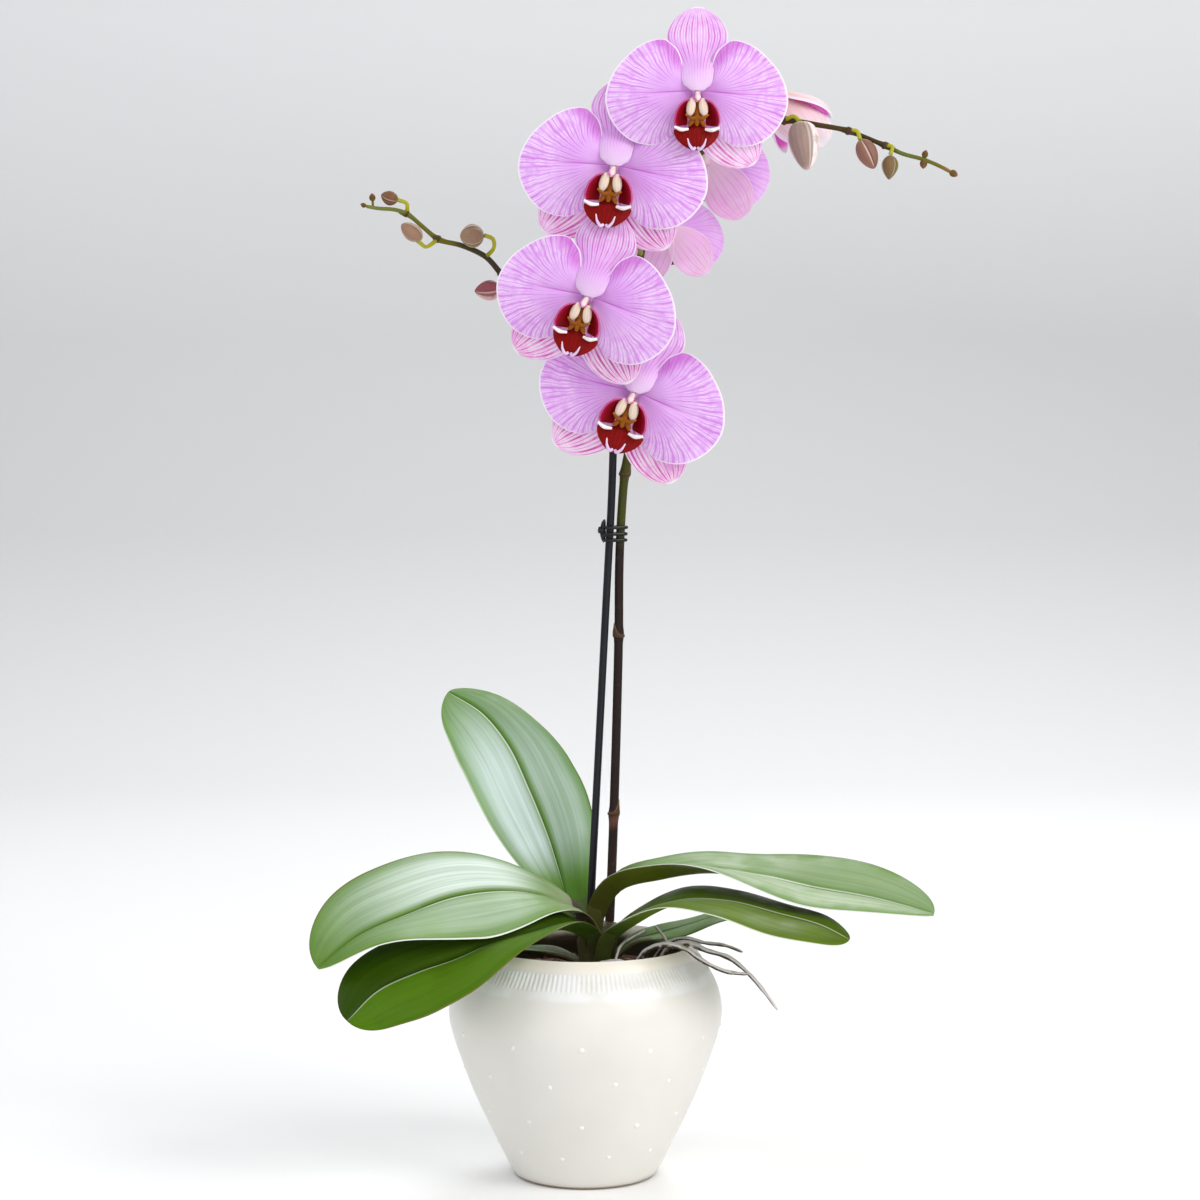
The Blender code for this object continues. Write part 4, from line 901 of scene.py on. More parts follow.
branch_marks = [(0.0, OLIVE), (0.35, (0.06, 0.045, 0.02)), (0.5, (0.035, 0.02, 0.014)),
                (0.68, (0.06, 0.05, 0.02)), (0.72, GREEN), (1.0, (0.17, 0.19, 0.04))]
shape = Shape()
path, reach = stem_part(shape, BRANCH, BRANCH_WIDTHS, 160, BRANCH_JOINTS, BRANCH_SWELL, 12)
for joint in BRANCH_JOINTS:
    scale_part(shape, path, reach, joint, 1)
branch_scale = stem_finish("branch_scale_skin", [
    (0.0, (0.055, 0.040, 0.010)), (0.75, (0.085, 0.070, 0.014)), (1.0, (0.28, 0.24, 0.10))])
made("spike_branch", shape, [stem_finish("branch_skin", branch_marks), branch_scale],
     ["flower_spike"])

# Buds
# Closed buds on short curved stalks, the oldest nearest the open flowers. Each is creased where its
# sepals meet, dusky rose to olive. The youngest are tiny knobs at the ends.

# Base, the way it points, length, width and stalk of each bud
BUDS = {
    "bud_left_1": ((-44.8, 12, 471.8), (-1, 0, -0.1), 14.0, 11.0,
                   [(-43.1, 12, 478.0), (-41.6, 12, 474.6), (-44.5, 12, 471.8)]),
    "bud_left_2": ((-53.3, 1.5, 499.3), (-1, 0, -0.05), 12.6, 12.4,
                   [(-52.6, 10, 488.4), (-48.3, 7, 493.0), (-49.0, 3, 497.8), (-53.0, 1.5, 499.3)]),
    "bud_left_3": ((-85.9, -1.5, 496.9), (-0.8, 0, 0.6), 13.2, 9.2,
                   [(-77.8, 8, 497.7), (-84.0, 3, 493.4), (-88.0, -1.5, 496.2)]),
    "bud_left_4": ((-98.7, 6, 517.8), (-0.95, 0, 0.32), 9.4, 7.8,
                   [(-94.1, 7, 510.8), (-94.2, 6, 516.3), (-98.7, 6, 518.1)]),
    "bud_right_1": ((112.0, -10, 557.4), (0.15, -0.12, -1), 25.5, 16.0,
                    [(104.3, 0, 559.0), (109.0, -5, 560.8), (111.9, -9.8, 557.7)]),
    "bud_right_2": ((143.7, -6, 548.6), (0.45, 0, -0.9), 16.8, 10.8,
                    [(138.0, -3, 553.3), (142.0, -5.5, 553.2), (143.7, -6, 548.7)]),
    "bud_right_3": ((159.5, -8, 540.4), (-0.06, 0, -1), 12.8, 8.6,
                    [(157.0, -5, 545.5), (160.4, -7.5, 544.8), (159.5, -8, 540.7)]),
}
# Back, panel towards the front, point, how far round the panel faces, for each bud
BUD_TINTS = {
    "bud_left_1": ((0.58, 0.36, 0.33), (0.26, 0.065, 0.08), (0.24, 0.08, 0.07), 0.32),
    "bud_left_2": ((0.30, 0.21, 0.10), (0.30, 0.185, 0.115), (0.40, 0.20, 0.16), 0.36),
    "bud_left_3": ((0.48, 0.38, 0.26), (0.32, 0.185, 0.115), (0.40, 0.12, 0.15), 0.40),
    "bud_left_4": ((0.18, 0.075, 0.03), (0.20, 0.09, 0.042), (0.20, 0.08, 0.045), 0.30),
    "bud_right_1": ((0.86, 0.72, 0.70), (0.30, 0.21, 0.175), (0.60, 0.43, 0.40), 0.342),
    "bud_right_2": ((0.34, 0.14, 0.13), (0.25, 0.12, 0.085), (0.26, 0.07, 0.065), 0.20),
    "bud_right_3": ((0.19, 0.155, 0.025), (0.19, 0.115, 0.045), (0.30, 0.17, 0.12), 0.342),
}
# Taper, turn about its length in degrees and bluntness, for each bud
BUD_FORMS = {
    "bud_left_1": (0.25, 0, 0.62), "bud_left_2": (0.0, -33, 0.55), "bud_left_3": (0.0, -36, 0.58),
    "bud_left_4": (0.0, 0, 0.62), "bud_right_1": (0.5, -22, 0.42), "bud_right_2": (0.1, 0, 0.55),
    "bud_right_3": (0.35, -33, 0.66),
}
# Tiny buds: where each leaves its stem, its middle and its width
TIP_BUDS = [
    ((-111.9, 6.0, 514.0), (-112.2, 6.0, 519.4), 3.4),
    ((-115.0, 6.0, 514.7), (-116.9, 6.0, 515.4), 2.6),
    ((177.2, -6.0, 538.2), (177.8, -6.0, 541.0), 3.4),
    ((177.0, -6.0, 538.2), (176.9, -6.0, 536.0), 4.0),
    ((190.0, -6.0, 532.3), (192.6, -6.0, 530.9), 3.8),
]


def oval_rings(base, direction, length, width, rows, sides, creases, taper=0.0, spin=0, blunt=0.62):
    """Rings of a bud: half its width is a sine of the share of its length, flattened at the top
    and tapered to the point, and three narrow creases cut in where sepals meet."""
    z = unit(direction)
    x = unit(np.cross(z, (0.2, 1.0, 0.1)))
    y = np.cross(z, x)
    t = 0.5 - 0.5 * np.cos(np.linspace(0.03, 0.99, rows) * math.pi)
    reach = width / 2 * np.sin(math.pi * t**0.9) ** blunt * (1 + taper * (0.45 - t))
    turn = np.arange(sides) * 2 * math.pi / sides
    cut = np.exp(-((1 - np.cos(3 * (turn - 1.1))) / 0.10)) * creases
    face = 1 - 0.05 * np.cos(3 * (turn - 1.1))
    turned = turn + math.radians(spin)
    ring = np.cos(turned)[:, None] * x + np.sin(turned)[:, None] * y
    away = reach[:, None] * (face - cut * np.sin(math.pi * t)[:, None] ** 0.5)
    return np.asarray(base, float) + z * (t * length)[:, None, None] + away[..., None] * ring


def bud_finish(name, body, side, point, aim):
    """A dusky panel on a second tint, faint lines along the sepals, a dark crease where two sepals meet
    with a pale line beside it as a painted highlight, and a tint at the point."""
    f = Finish(name, Roughness=0.5, Specular_IOR_Level=0.25)
    around, along = f.pattern()
    facing = f.cosine(f.times(f.minus(around, aim), 2 * math.pi))
    patch = f.between(facing, 0.3, 0.55)
    blotchy, blotch = f.patches(240.0, 0.45, 0.7, 0.5)
    tone = f.mix(patch, body, side)
    tone = f.mix(blotchy, tone, scaled(side, 0.85))
    lines = f.cosine(f.times(around, 36 * math.pi))
    tone = f.mix(f.between(lines, 0.5, 1.0, 0.0, 0.1), tone, scaled(body, 0.6))
    # Painted highlight: a pale line beside the crease.
    light = f.cosine(f.times(f.minus(around, 0.205), 6 * math.pi))
    tone = f.mix(f.between(light, 0.90, 0.99, 0.0, 0.45), tone, (0.78, 0.62, 0.56))
    crease = f.cosine(f.times(f.minus(around, 0.175), 6 * math.pi))
    tone = f.mix(f.between(crease, 0.93, 0.99, 0.0, 0.85), tone, scaled(body, 0.35))
    tone = f.mix(f.between(along, 0.20, 0.02, 0.0, 0.8), tone, (0.30, 0.30, 0.10))
    f.colour(f.mix(f.between(along, 0.78, 1.0, 0.0, 0.8), tone, point))
    f.bump(f.plus(lines, blotch), 0.2, 0.3)
    return f.material


rows, sides = 26, 42
for name, (base, direction, length, width, _) in BUDS.items():
    shape = Shape()
    shape.add(oval_rings(base, direction, length, width, rows, sides, 0.10, *BUD_FORMS[name]),
              ring_faces(rows, sides), even_uv(rows, sides))
    made(name + "_skin", shape, [bud_finish(name, *BUD_TINTS[name])], [name])

stalk_skin = stem_finish("bud_stalk_skin", [(0.0, (0.24, 0.22, 0.015)), (0.4, (0.42, 0.41, 0.012)),
                                            (1.0, (0.38, 0.37, 0.04))])
tiny_skin = stem_finish("tiny_bud_skin", [(0.0, (0.17, 0.13, 0.012)), (0.5, (0.11, 0.055, 0.015)),
                                          (1.0, (0.30, 0.11, 0.045))])
shape = Shape()
rows, sides = 26, 10
for _, _, _, width, points in BUDS.values():
    path = smooth_path(points, rows)
    reach = np.interp(np.linspace(0, 1, rows), [0, 0.5, 1], [1.2, 1.0, 1.05 + width * 0.015])
    shape.add(stem_rings(path, reach, sides)[0], ring_faces(rows, sides), even_uv(rows, sides))
for start, centre, size in TIP_BUDS:
    away = unit(np.subtract(centre, start))
    rings = oval_rings(centre - away * size * 0.65, away, size * 1.3, size, 12, 18, 0.12)
    shape.add(rings, ring_faces(12, 18), even_uv(12, 18), 1)
    neck = smooth_path([start, (np.array(start) + centre) / 2, centre], 8)
    shape.add(stem_rings(neck, np.full(8, 0.65), 8)[0], ring_faces(8, 8), even_uv(8, 8) * (1, 0.5), 1)
made("bud_stalks", shape, [stalk_skin, tiny_skin], ["flower_spike"])

# Spring clip
# A moulded black claw clip that holds the spike to the stake: three rounded fingers on a bar, with
# a knob of a handle to squeeze.
CLIP_HEIGHTS = (338.4, 341.7, 345.2)
CLIP_THICKNESS, CLIP_BAND, CLIP_GAP = 1.3, 1.9, 0.3
# Width of the spike where the clip holds it
SPIKE_AT_CLIP = 4.7
clip_black = plastic("clip_black", (0.005, 0.005, 0.006), 0.18)


def clip_piece():
    """Each finger is a rounded strip swept round an oval about both stems. The bar and the handle
    are stems with their own widths."""
    shape = Shape()
    stake, spike = smooth_path(STAKE, 400), smooth_path(SPIKE, 400)
    for z in CLIP_HEIGHTS:
        a = stake[np.argmin(np.abs(stake[:, 2] - z))] * (1, 1, 0)
        b = spike[np.argmin(np.abs(spike[:, 2] - z))] * (1, 1, 0)
        along = unit(b - a)
        across = np.array([-along[1], along[0], 0.0])
        half = np.linspace(math.pi / 2, 3 * math.pi / 2, 24)
        bow = np.cos(half)[:, None] * along + np.sin(half)[:, None] * across
        room = CLIP_GAP + CLIP_THICKNESS / 2
        path = np.concatenate([a + (STAKE_WIDTH / 2 + room) * bow,
                               b - (SPIKE_AT_CLIP / 2 + room) * bow])
        out = np.concatenate([bow, -bow])
        sides = 10
        turn = np.arange(sides) * 2 * math.pi / sides
        up = np.array([0.0, 0.0, 1.0])
        round_off = np.sign(np.sin(turn)) * np.abs(np.sin(turn)) ** 0.7
        rings = (path[:, None] + (0, 0, z) + CLIP_THICKNESS / 2 * np.cos(turn)[:, None] * out[:, None]
                 + CLIP_BAND / 2 * round_off[:, None] * up)
        at = np.arange(len(rings) * sides).reshape(-1, sides)
        beside = np.roll(at, -1, axis=1)
        quads = np.stack([at, beside, np.roll(beside, -1, axis=0), np.roll(at, -1, axis=0)], axis=-1)
        shape.add(rings, [quads.reshape(-1, 4)], even_uv(len(rings), sides))
    low, middle, high = CLIP_HEIGHTS
    x, y, _ = stake[np.argmin(np.abs(stake[:, 2] - middle))]
    x -= STAKE_WIDTH / 2 + CLIP_GAP + CLIP_THICKNESS / 2
    bars = [([(x - 0.3, y, low - 1.4), (x - 0.6, y, middle), (x - 0.3, y, high + 2.2),
              (x + 0.3, y, high + 4.4)], (0.7, 1.6, 1.5, 0.9)),
            ([(x, y, middle + 1.2), (x - 1.6, y, middle + 2.0), (x - 3.4, y, middle + 2.2)],
             (1.5, 1.8, 1.9))]
    for points, widths in bars:
        path = smooth_path(points, 22)
        t = np.linspace(0, 1, 22)
        reach = np.interp(t, np.linspace(0, 1, len(widths)), widths)
        reach = reach * np.sqrt(np.clip(np.minimum(t, 1 - t) / 0.12, 0.02, 1))
        shape.add(stem_rings(path, reach, 14)[0], ring_faces(22, 14), even_uv(22, 14))
    return shape


made("stem_clip_claw", clip_piece(), [clip_black], ["stem_clip"])

# Open blooms
# Six moth shaped flowers on arching stalks. Three sepals lie behind two broad petals, all of thin
# lilac tissue with branching magenta veins and a white margin.

# Middle, the way it faces, lean in degrees, size and where its stalk leaves the spike, for each bloom
BLOOMS = {
    "bloom_1": ((56.5, -57.0, 568.2), (0.02, -1.0, -0.06), 1, 0.93, (50.0, 0.0, 530.0)),
    "bloom_2": ((15.2, -51.0, 531.3), (-0.08, -1.0, -0.05), 8, 0.98, (29.5, 1.0, 488.0)),
    "bloom_3": ((2.6, -55.0, 465.3), (-0.2, -1.0, -0.05), 16, 0.96, (30.0, 3.0, 452.0)),
    "bloom_4": ((26.0, -40.0, 416.8), (-0.14, -1.0, -0.02), 18, 1.0, (26.0, 6.5, 402.0)),
    "bloom_5": ((65.0, 47.0, 542.0), (0.12, 0.98, -0.10), -4, 0.86, (62.0, 0.0, 543.0)),
    "bloom_6": ((45.0, 28.0, 504.5), (0.15, 0.96, -0.22), 5, 0.75, (33.0, 1.0, 502.0)),
}
# Each sepal's turn about the hub in degrees, and how far its tip bends back
SEPALS = [(0, 6.0), (140, 1.2), (-140, 1.2)]
SEPAL_BACK = 1.2
# Half the width of a sepal at distances from the hub
TOP_SEPAL = [(0.0, 3.5), (1.4, 6.4), (4.0, 7.9), (8.0, 8.6), (13.0, 9.2), (18.0, 11.6),
             (23.0, 14.8), (27.5, 16.6), (32.0, 16.2), (36.0, 14.2), (39.6, 11.4), (42.2, 8.2),
             (43.9, 5.2), (44.8, 2.6), (45.2, 0.3)]
SIDE_SEPAL = [(0.0, 3.0), (3.0, 6.0), (8.0, 10.0), (15.0, 14.2), (22.0, 16.6), (29.0, 17.0),
              (36.0, 15.4), (41.5, 12.6), (45.5, 9.2), (48.0, 6.0), (49.4, 3.2), (50.0, 0.3)]
# Radius of the bowl into which a younger bloom is bent
CUPPED = {"bloom_5": 42.0, "bloom_6": 36.0}
# A petal's rim, claw and inner edge, across and up from the hub
PETAL_RIM = [(16.5, 26.8), (20.5, 27.4), (25.5, 26.4), (31.7, 23.5), (38.6, 17.6), (44.4, 10.8),
             (48.3, 2.4), (49.6, -5.5), (47.4, -14.0), (42.0, -22.0), (34.7, -27.4), (27.0, -29.3),
             (19.7, -28.8), (14.2, -25.6), (10.5, -21.0)]
PETAL_CLAW = [(3.2, 2.6), (2.6, 1.4), (2.4, 0.2), (2.5, -1.2), (3.0, -2.8)]
PETAL_EDGE = [(3.2, 2.6), (6.4, 6.5), (7.6, 11.0), (8.4, 16.0), (10.6, 21.5), (16.5, 26.8)]
PETAL_THICKNESS = 0.9
HUB_BACK, HUB_FRONT = 4.0, 3.0
# Places in a bloom's list of finishes. Each back comes after its front, and the hub shares the top
# sepal's back.
TOP_FRONT, HUB, PETAL_FRONT, SIDE_FRONT = 0, 1, 2, 4


def placement(centre, facing, lean, size):
    """Rotation and scale that turn a flower's own frame (+Z faces out, +Y is its top) into place."""
    z = unit(facing)
    y = unit(np.array([0.0, 0.0, 1.0]) - z * z[2])
    x = np.cross(y, z)
    a = math.radians(lean)
    top = y * math.cos(a) + x * math.sin(a)
    return np.stack([np.cross(top, z), top, z], axis=1) * size, np.asarray(centre, float)


def placed(shape, place):
    """The same shape taken from a flower's own frame to its place on the plant."""
    rotation, centre = place
    copy = Shape()
    copy.points = [p @ rotation.T + centre for p in shape.points]
    copy.faces, copy.uv, copy.finish, copy.count = shape.faces, shape.uv, shape.finish, shape.count
    return copy


def vein_group():
    """Lines at even steps across a tissue that spread apart along it and fork twice on the way.
    Puts out the dark lines and the pale streaks that lie between them in the outer part."""
    f, given, out = shared("branching veins", ("Across", "Along", "Lines", "Gather"),
                           ("Veins", "Streaks"))
    across, along, lines, gather = given["Across"], given["Along"], given["Lines"], given["Gather"]
    wander = f.times(f.minus(f.noise(170.0, 3.0), 0.5), 0.05)
    spread = f.plus(gather, f.times(f.minus(1.0, gather), along))
    place = f.over(f.plus(across, wander), spread)
    waves = []
    for fork, start, stop in ((1, 0.0, 0.5), (2, 0.35, 0.6), (4, 0.65, 0.85)):
        phase = f.times(f.times(place, lines), fork * 2 * math.pi)
        wave = f.between(f.cosine(phase), 0.35, 1.0)
        least = 0.3 if fork == 1 else 0.0
        waves.append(f.times(wave, f.between(along, start, stop, least, 1.0)))
    dark = f.larger(waves[0], f.times(waves[1], 0.8))
    dark = f.larger(dark, f.times(waves[2], 0.55))
    broken = f.between(f.noise(120.0, 4.0), 0.32, 0.6, 0.35, 1.0)
    pale = f.times(f.minus(1.0, dark), f.between(along, 0.35, 0.8))
    f.put(out["Veins"], f.times(dark, broken))
    f.put(out["Streaks"], f.times(pale, f.between(f.noise(260.0, 3.0), 0.3, 0.6)))
    return f.tree


VEINS = vein_group()


def tissue(name, body, vein, pale, rim, settings, claw, fold=None, margin=0.032):
    """Thin tissue: veins and streaks over its body colour with paler and deeper clouds, a tinted claw,
    a deeper line on a petal and painted shade on its folded inner corner, a white rim, and some light
    let through. Settings are the lines, how they gather at the foot, the strength of veins and streaks,
    and that light."""
    lines, gather, dark, light, glow = settings
    f = Finish(name, Roughness=0.55, Sheen_Weight=0.1, Sheen_Roughness=0.4, Specular_IOR_Level=0.3)
    across, along = f.pattern()
    centred = f.times(f.minus(across, 0.5), 2.0)
    veins = f.group(VEINS, Across=centred, Along=along, Lines=lines, Gather=gather)
    tone = f.mix(f.patches(55.0, 0.35, 0.7, 0.35)[0], body, pale)
    tone = f.mix(f.patches(42.0, 0.5, 0.75, 0.3)[0], tone, vein)
    tone = f.mix(f.times(veins["Streaks"], light), tone, pale)
    tone = f.mix(f.times(veins["Veins"], dark), tone, vein)
    colour, reach, strength = claw
    tone = f.mix(f.between(along, reach, 0.0, 0.0, strength), tone, colour)
    if fold:
        line = f.between(f.absolute(f.plus(centred, 0.08)), 0.06, 0.0)
        line = f.times(line, f.between(along, 0.7, 0.15))
        # Painted shade on the petal's folded inner corner.
        corner = f.between(centred, -0.70, -0.90, 0.0, 0.7)
        corner = f.times(corner, f.between(along, 0.2, 0.6))
        tone = f.mix(f.larger(line, corner), tone, fold)
    edge = f.larger(f.between(along, 1 - 0.8 * margin, 1 - 0.3 * margin),
                    f.between(f.absolute(centred), 1 - margin, 1 - 0.45 * margin))
    tone = f.mix(edge, tone, rim)
    f.colour(tone)
    f.bump(veins["Veins"], 0.25, 0.3)
    through = f.node("BsdfTranslucent", [("Color", tone)])
    mixed = f.node("MixShader", [(0, glow), (1, f.shader.outputs[0]), (2, through.outputs[0])])
    f.put(f.tree.nodes["Material Output"].inputs["Surface"], mixed.outputs[0])
    return f.material


def bowl(sheet, cup):
    """A sheet bent forward like a bowl: the distance from the flower's axis becomes an arc of the
    radius cup."""
    far = np.maximum(np.linalg.norm(sheet[..., :2], axis=-1, keepdims=True), 0.01)
    return np.concatenate([sheet[..., :2] * cup * np.sin(far / cup) / far,
                           sheet[..., 2:] + cup * (1 - np.cos(far / cup))], axis=-1)


def sepal(shape, turn, curl, cup, rows=34, columns=21):
    """An oval from the hub outward, with the half width tabled along it. It bows along its middle
    and its tip bends back. The foot of the top sepal lies in front of the petals' claws."""
    s = 1 - (1 - np.linspace(0, 1, rows)) ** 1.9
    u = np.sin(np.linspace(-1, 1, columns) * math.pi / 2)
    table = TOP_SEPAL if turn == 0 else SIDE_SEPAL
    outline = smooth_path(table, 200)
    length = outline[-1, 0]
    half = np.interp(s * length, outline[:, 0], outline[:, 1])
    out = length * s[:, None] + 0.3 + 0 * u[None, :]
    x = half[:, None] * u[None, :]
    bow = 1.6 * np.sin(math.pi * s)[:, None] * (1 - u[None, :] ** 2)
    z = bow - SEPAL_BACK - curl * s[:, None] ** 2 + 0.5 * np.sin(5 * s[:, None] + 3 * u) * u**2
    if turn == 0:
        z = z + 8.2 / (1 + np.exp((out - 15.0) / 2.2)) * (1 - 0.12 * u**2)
    sin, cos = math.sin(math.radians(turn)), math.cos(math.radians(turn))
    middle = np.stack([x * cos + out * sin, out * cos - x * sin, z], axis=-1)
    thick = PETAL_THICKNESS / 2 * np.sqrt(np.clip(1 - u**8, 0, 1))[None, :] + 0 * s[:, None]
    middle = bowl(middle, cup) if cup else middle
    front = TOP_FRONT if turn == 0 else SIDE_FRONT
    blade(shape, middle, thick, u, s, front, face_to=(0, 0, 1))


def petal(shape, side, cup, rows=28, columns=71):
    """A broad lobe: straight lines from the curve of the claw to the curve of the rim, whose first
    line is bent to the inner edge and draws its neighbours along in a bell. It rises from the
    claw, falls to the rim, folds back at its inner top corner and waves near the rim."""
    t = np.linspace(0, 1, columns)[None, :, None]
    r = (1 - (1 - np.linspace(0, 1, rows)) ** 1.3)[:, None, None]
    rim, claw = smooth_path(PETAL_RIM, columns)[None], smooth_path(PETAL_CLAW, columns)[None]
    edge = smooth_path(PETAL_EDGE, 200)
    line = edge[(r[:, 0, 0] * (len(edge) - 1)).astype(int)][:, None]
    flat = claw + (rim - claw) * r
    flat = flat + (line - flat[:, :1]) * np.exp(-((t / 0.16) ** 2))
    r, t = r[..., 0], t[..., 0]
    a = np.arctan2(flat[..., 1], flat[..., 0])
    z = 1.6 + 5.0 * np.sin(np.clip(r / 0.42, 0, 1) * math.pi / 2) - 2.4 * r**2
    z = z + 0.8 * np.sin(3.5 * a + 0.6) * r**2 + 0.35 * np.sin(9 * a + 1.0) * r**4
    z = z - 2.8 * np.exp(-((t / 0.09) ** 2)) * np.sin(math.pi * np.clip(r, 0, 1) ** 0.8)
    z = z - 0.9 * np.exp(-(((t - 0.46) / 0.05) ** 2)) * np.sin(math.pi * np.clip(r * 1.25, 0, 1))
    middle = np.stack([side * flat[..., 0], flat[..., 1], z + 0 * a], axis=-1)
    middle = bowl(middle, cup) if cup else middle
    u = np.linspace(-1, 1, columns)
    thick = PETAL_THICKNESS / 2 * np.sqrt(np.clip(1 - np.abs(u) ** 12, 0, 1))[None, :]
    thick = thick * np.sqrt(np.clip((1 - r) / 0.02, 0.15, 1))
    blade(shape, middle, thick, u, r[:, 0], PETAL_FRONT, face_to=(0, 0, 1))


LILAC, MAGENTA, WHITE = (0.77, 0.44, 0.88), (0.62, 0.16, 0.70), (0.95, 0.90, 0.96)
sepal_front = tissue("sepal_front", (0.78, 0.45, 0.88), (0.64, 0.11, 0.55), (0.93, 0.80, 0.97), WHITE,
                     (5.0, 0.8, 0.8, 0.75, 0.25), ((0.88, 0.72, 0.94), 0.35, 0.8))
side_front = tissue("side_sepal_front", (0.92, 0.61, 0.93), (0.66, 0.07, 0.44), (0.97, 0.88, 0.97),
                    WHITE, (3.6, 0.9, 1.0, 1.0, 0.25), ((0.88, 0.74, 0.93), 0.35, 0.8))
sepal_back = tissue("sepal_back", (0.97, 0.70, 0.93), (0.90, 0.42, 0.78), (0.98, 0.90, 0.97), WHITE,
                    (3.0, 0.8, 0.45, 0.7, 0.5), ((0.96, 0.86, 0.78), 0.45, 0.5), margin=0.06)
petal_back = tissue("petal_back", (0.93, 0.58, 0.97), (0.80, 0.32, 0.86), (0.97, 0.82, 0.98), WHITE,
                    (6.0, 0.7, 0.4, 0.6, 0.5), ((0.94, 0.80, 0.86), 0.3, 0.6), margin=0.05)
petal_front = tissue("petal_front", LILAC, MAGENTA, (0.92, 0.74, 0.97), WHITE,
                     (9.0, 0.5, 0.62, 0.85, 0.25), ((0.74, 0.34, 0.85), 0.30, 0.6), (0.60, 0.11, 0.62))
tepal_looks = [sepal_front, sepal_back, petal_front, petal_back, side_front, sepal_back]
HUB_RINGS, HUB_SIDES = 12, 18
hub_path = smooth_path([(0, 0, -HUB_BACK), (0, 0, 0.0), (0, 0, HUB_FRONT)], HUB_RINGS)
hub_reach = np.interp(np.linspace(0, 1, HUB_RINGS), [0, 0.5, 1], [2.0, 4.0, 2.0])


def tepal_shape(cup):
    """The hub, the three sepals and the two petals in a flower's own frame. A younger flower is
    bent into a bowl of the radius cup."""
    shape = Shape()
    shape.add(stem_rings(hub_path, hub_reach, HUB_SIDES)[0], ring_faces(HUB_RINGS, HUB_SIDES),
              even_uv(HUB_RINGS, HUB_SIDES), HUB)
    for turn_by, curl in SEPALS:
        sepal(shape, turn_by, curl, cup)
    petal(shape, 1, cup)
    petal(shape, -1, cup)
    return shape


open_shape = tepal_shape(0)
for name, (centre, facing, lean, size, _) in BLOOMS.items():
    place = placement(centre, facing, lean, size)
    shape = tepal_shape(CUPPED[name]) if name in CUPPED else open_shape
    made(name + "_sepals_and_petals", placed(shape, place), tepal_looks, [name + "_tepals"])

# Lips
# The lip hangs from the middle of each bloom: two crimson side lobes, a dark red arrow shaped lobe
# between them with white wings and two curled tails, a golden callus and two cream cushions.

# Outer and inner outline of a side lobe, and half the width of the middle lobe along its length
LIP_SIDE_OUT = [(4.2, -4.6), (7.6, -6.2), (10.6, -9.8), (12.0, -14.0), (12.2, -17.6), (11.2, -19.2)]
LIP_SIDE_IN = [(2.2, -5.6), (3.6, -8.0), (4.8, -11.5), (5.2, -14.5), (5.0, -17.0), (5.4, -18.6)]
LIP_MIDDLE = [(0.0, 3.2), (0.18, 4.0), (0.29, 5.4), (0.34, 10.8), (0.38, 12.4), (0.44, 12.4),
              (0.52, 11.9), (0.68, 10.2), (0.81, 8.0), (0.91, 5.8), (0.975, 3.6), (1.0, 2.0)]
LIP_MIDDLE_LENGTH, LIP_THICK = 16.2, 0.45
# Size of the lip of a younger bloom beside a full one
YOUNG_LIP = 0.75
# Places in the lip's list of finishes. Each lobe's back comes after its front.
SIDE_LOBE, MIDDLE_LOBE, TAIL, CALLUS, CUSHION, WING = 0, 2, 4, 5, 6, 7
# Points, half widths and finish of the tail, the wing and the callus arm on one side
LIP_STEMS = [
    ([(0.8, -30.8, 13.2), (1.7, -31.5, 14.3), (3.7, -29.6, 15.2), (5.0, -25.8, 15.6)],
     (0.9, 0.75, 0.25), TAIL),
    ([(4.6, -20.7, 11.5), (8.0, -21.1, 12.6), (12.2, -19.7, 13.6)], (0.75, 1.15, 0.7), WING),
    ([(0.3, -14.6, 11.6), (2.8, -15.0, 12.2), (6.2, -12.8, 11.6)], (1.3, 1.0, 0.45), CALLUS),
]


def lip_finish(name, body, edge, rim, gloss):
    """Satin tissue that turns from its body colour to another at its outer edge, with a thin rim."""
    f = Finish(name, Roughness=gloss, Specular_IOR_Level=0.12)
    across, along = f.pattern()
    vein = f.cosine(f.times(across, 60.0))
    tone = f.mix(f.between(vein, 0.4, 1.0, 0.0, 0.3), body, scaled(body, 0.6))
    tone = f.mix(f.patches(300.0, 0.5, 0.75, 0.4)[0], tone, scaled(body, 1.35))
    tone = f.mix(f.between(along, 0.70, 0.95, 0.0, 0.8), tone, edge)
    f.colour(f.mix(f.between(along, 0.955, 0.985), tone, rim))
    f.bump(vein, 0.2, 0.2)
    return f.material


def cushion(shape, centre, half, finish, tilt=0.0, rows=12, sides=16):
    """A rounded lump: an ellipsoid drawn in a little on one side and turned by the tilt."""
    p = np.linspace(0.06, math.pi - 0.06, rows)[:, None]
    q = (np.arange(sides) * 2 * math.pi / sides)[None, :]
    x, y, z = half
    rings = np.stack([x * np.sin(p) * np.cos(q), y * np.cos(p) + 0 * q,
                      z * np.sin(p) * np.sin(q) * (1 + 0.15 * np.cos(p))], axis=-1)
    sin, cos = math.sin(math.radians(tilt)), math.cos(math.radians(tilt))
    rings = rings @ np.array([(cos, sin, 0), (-sin, cos, 0), (0, 0, 1)])
    shape.add(rings + centre, ring_faces(rows, sides), even_uv(rows, sides), finish)


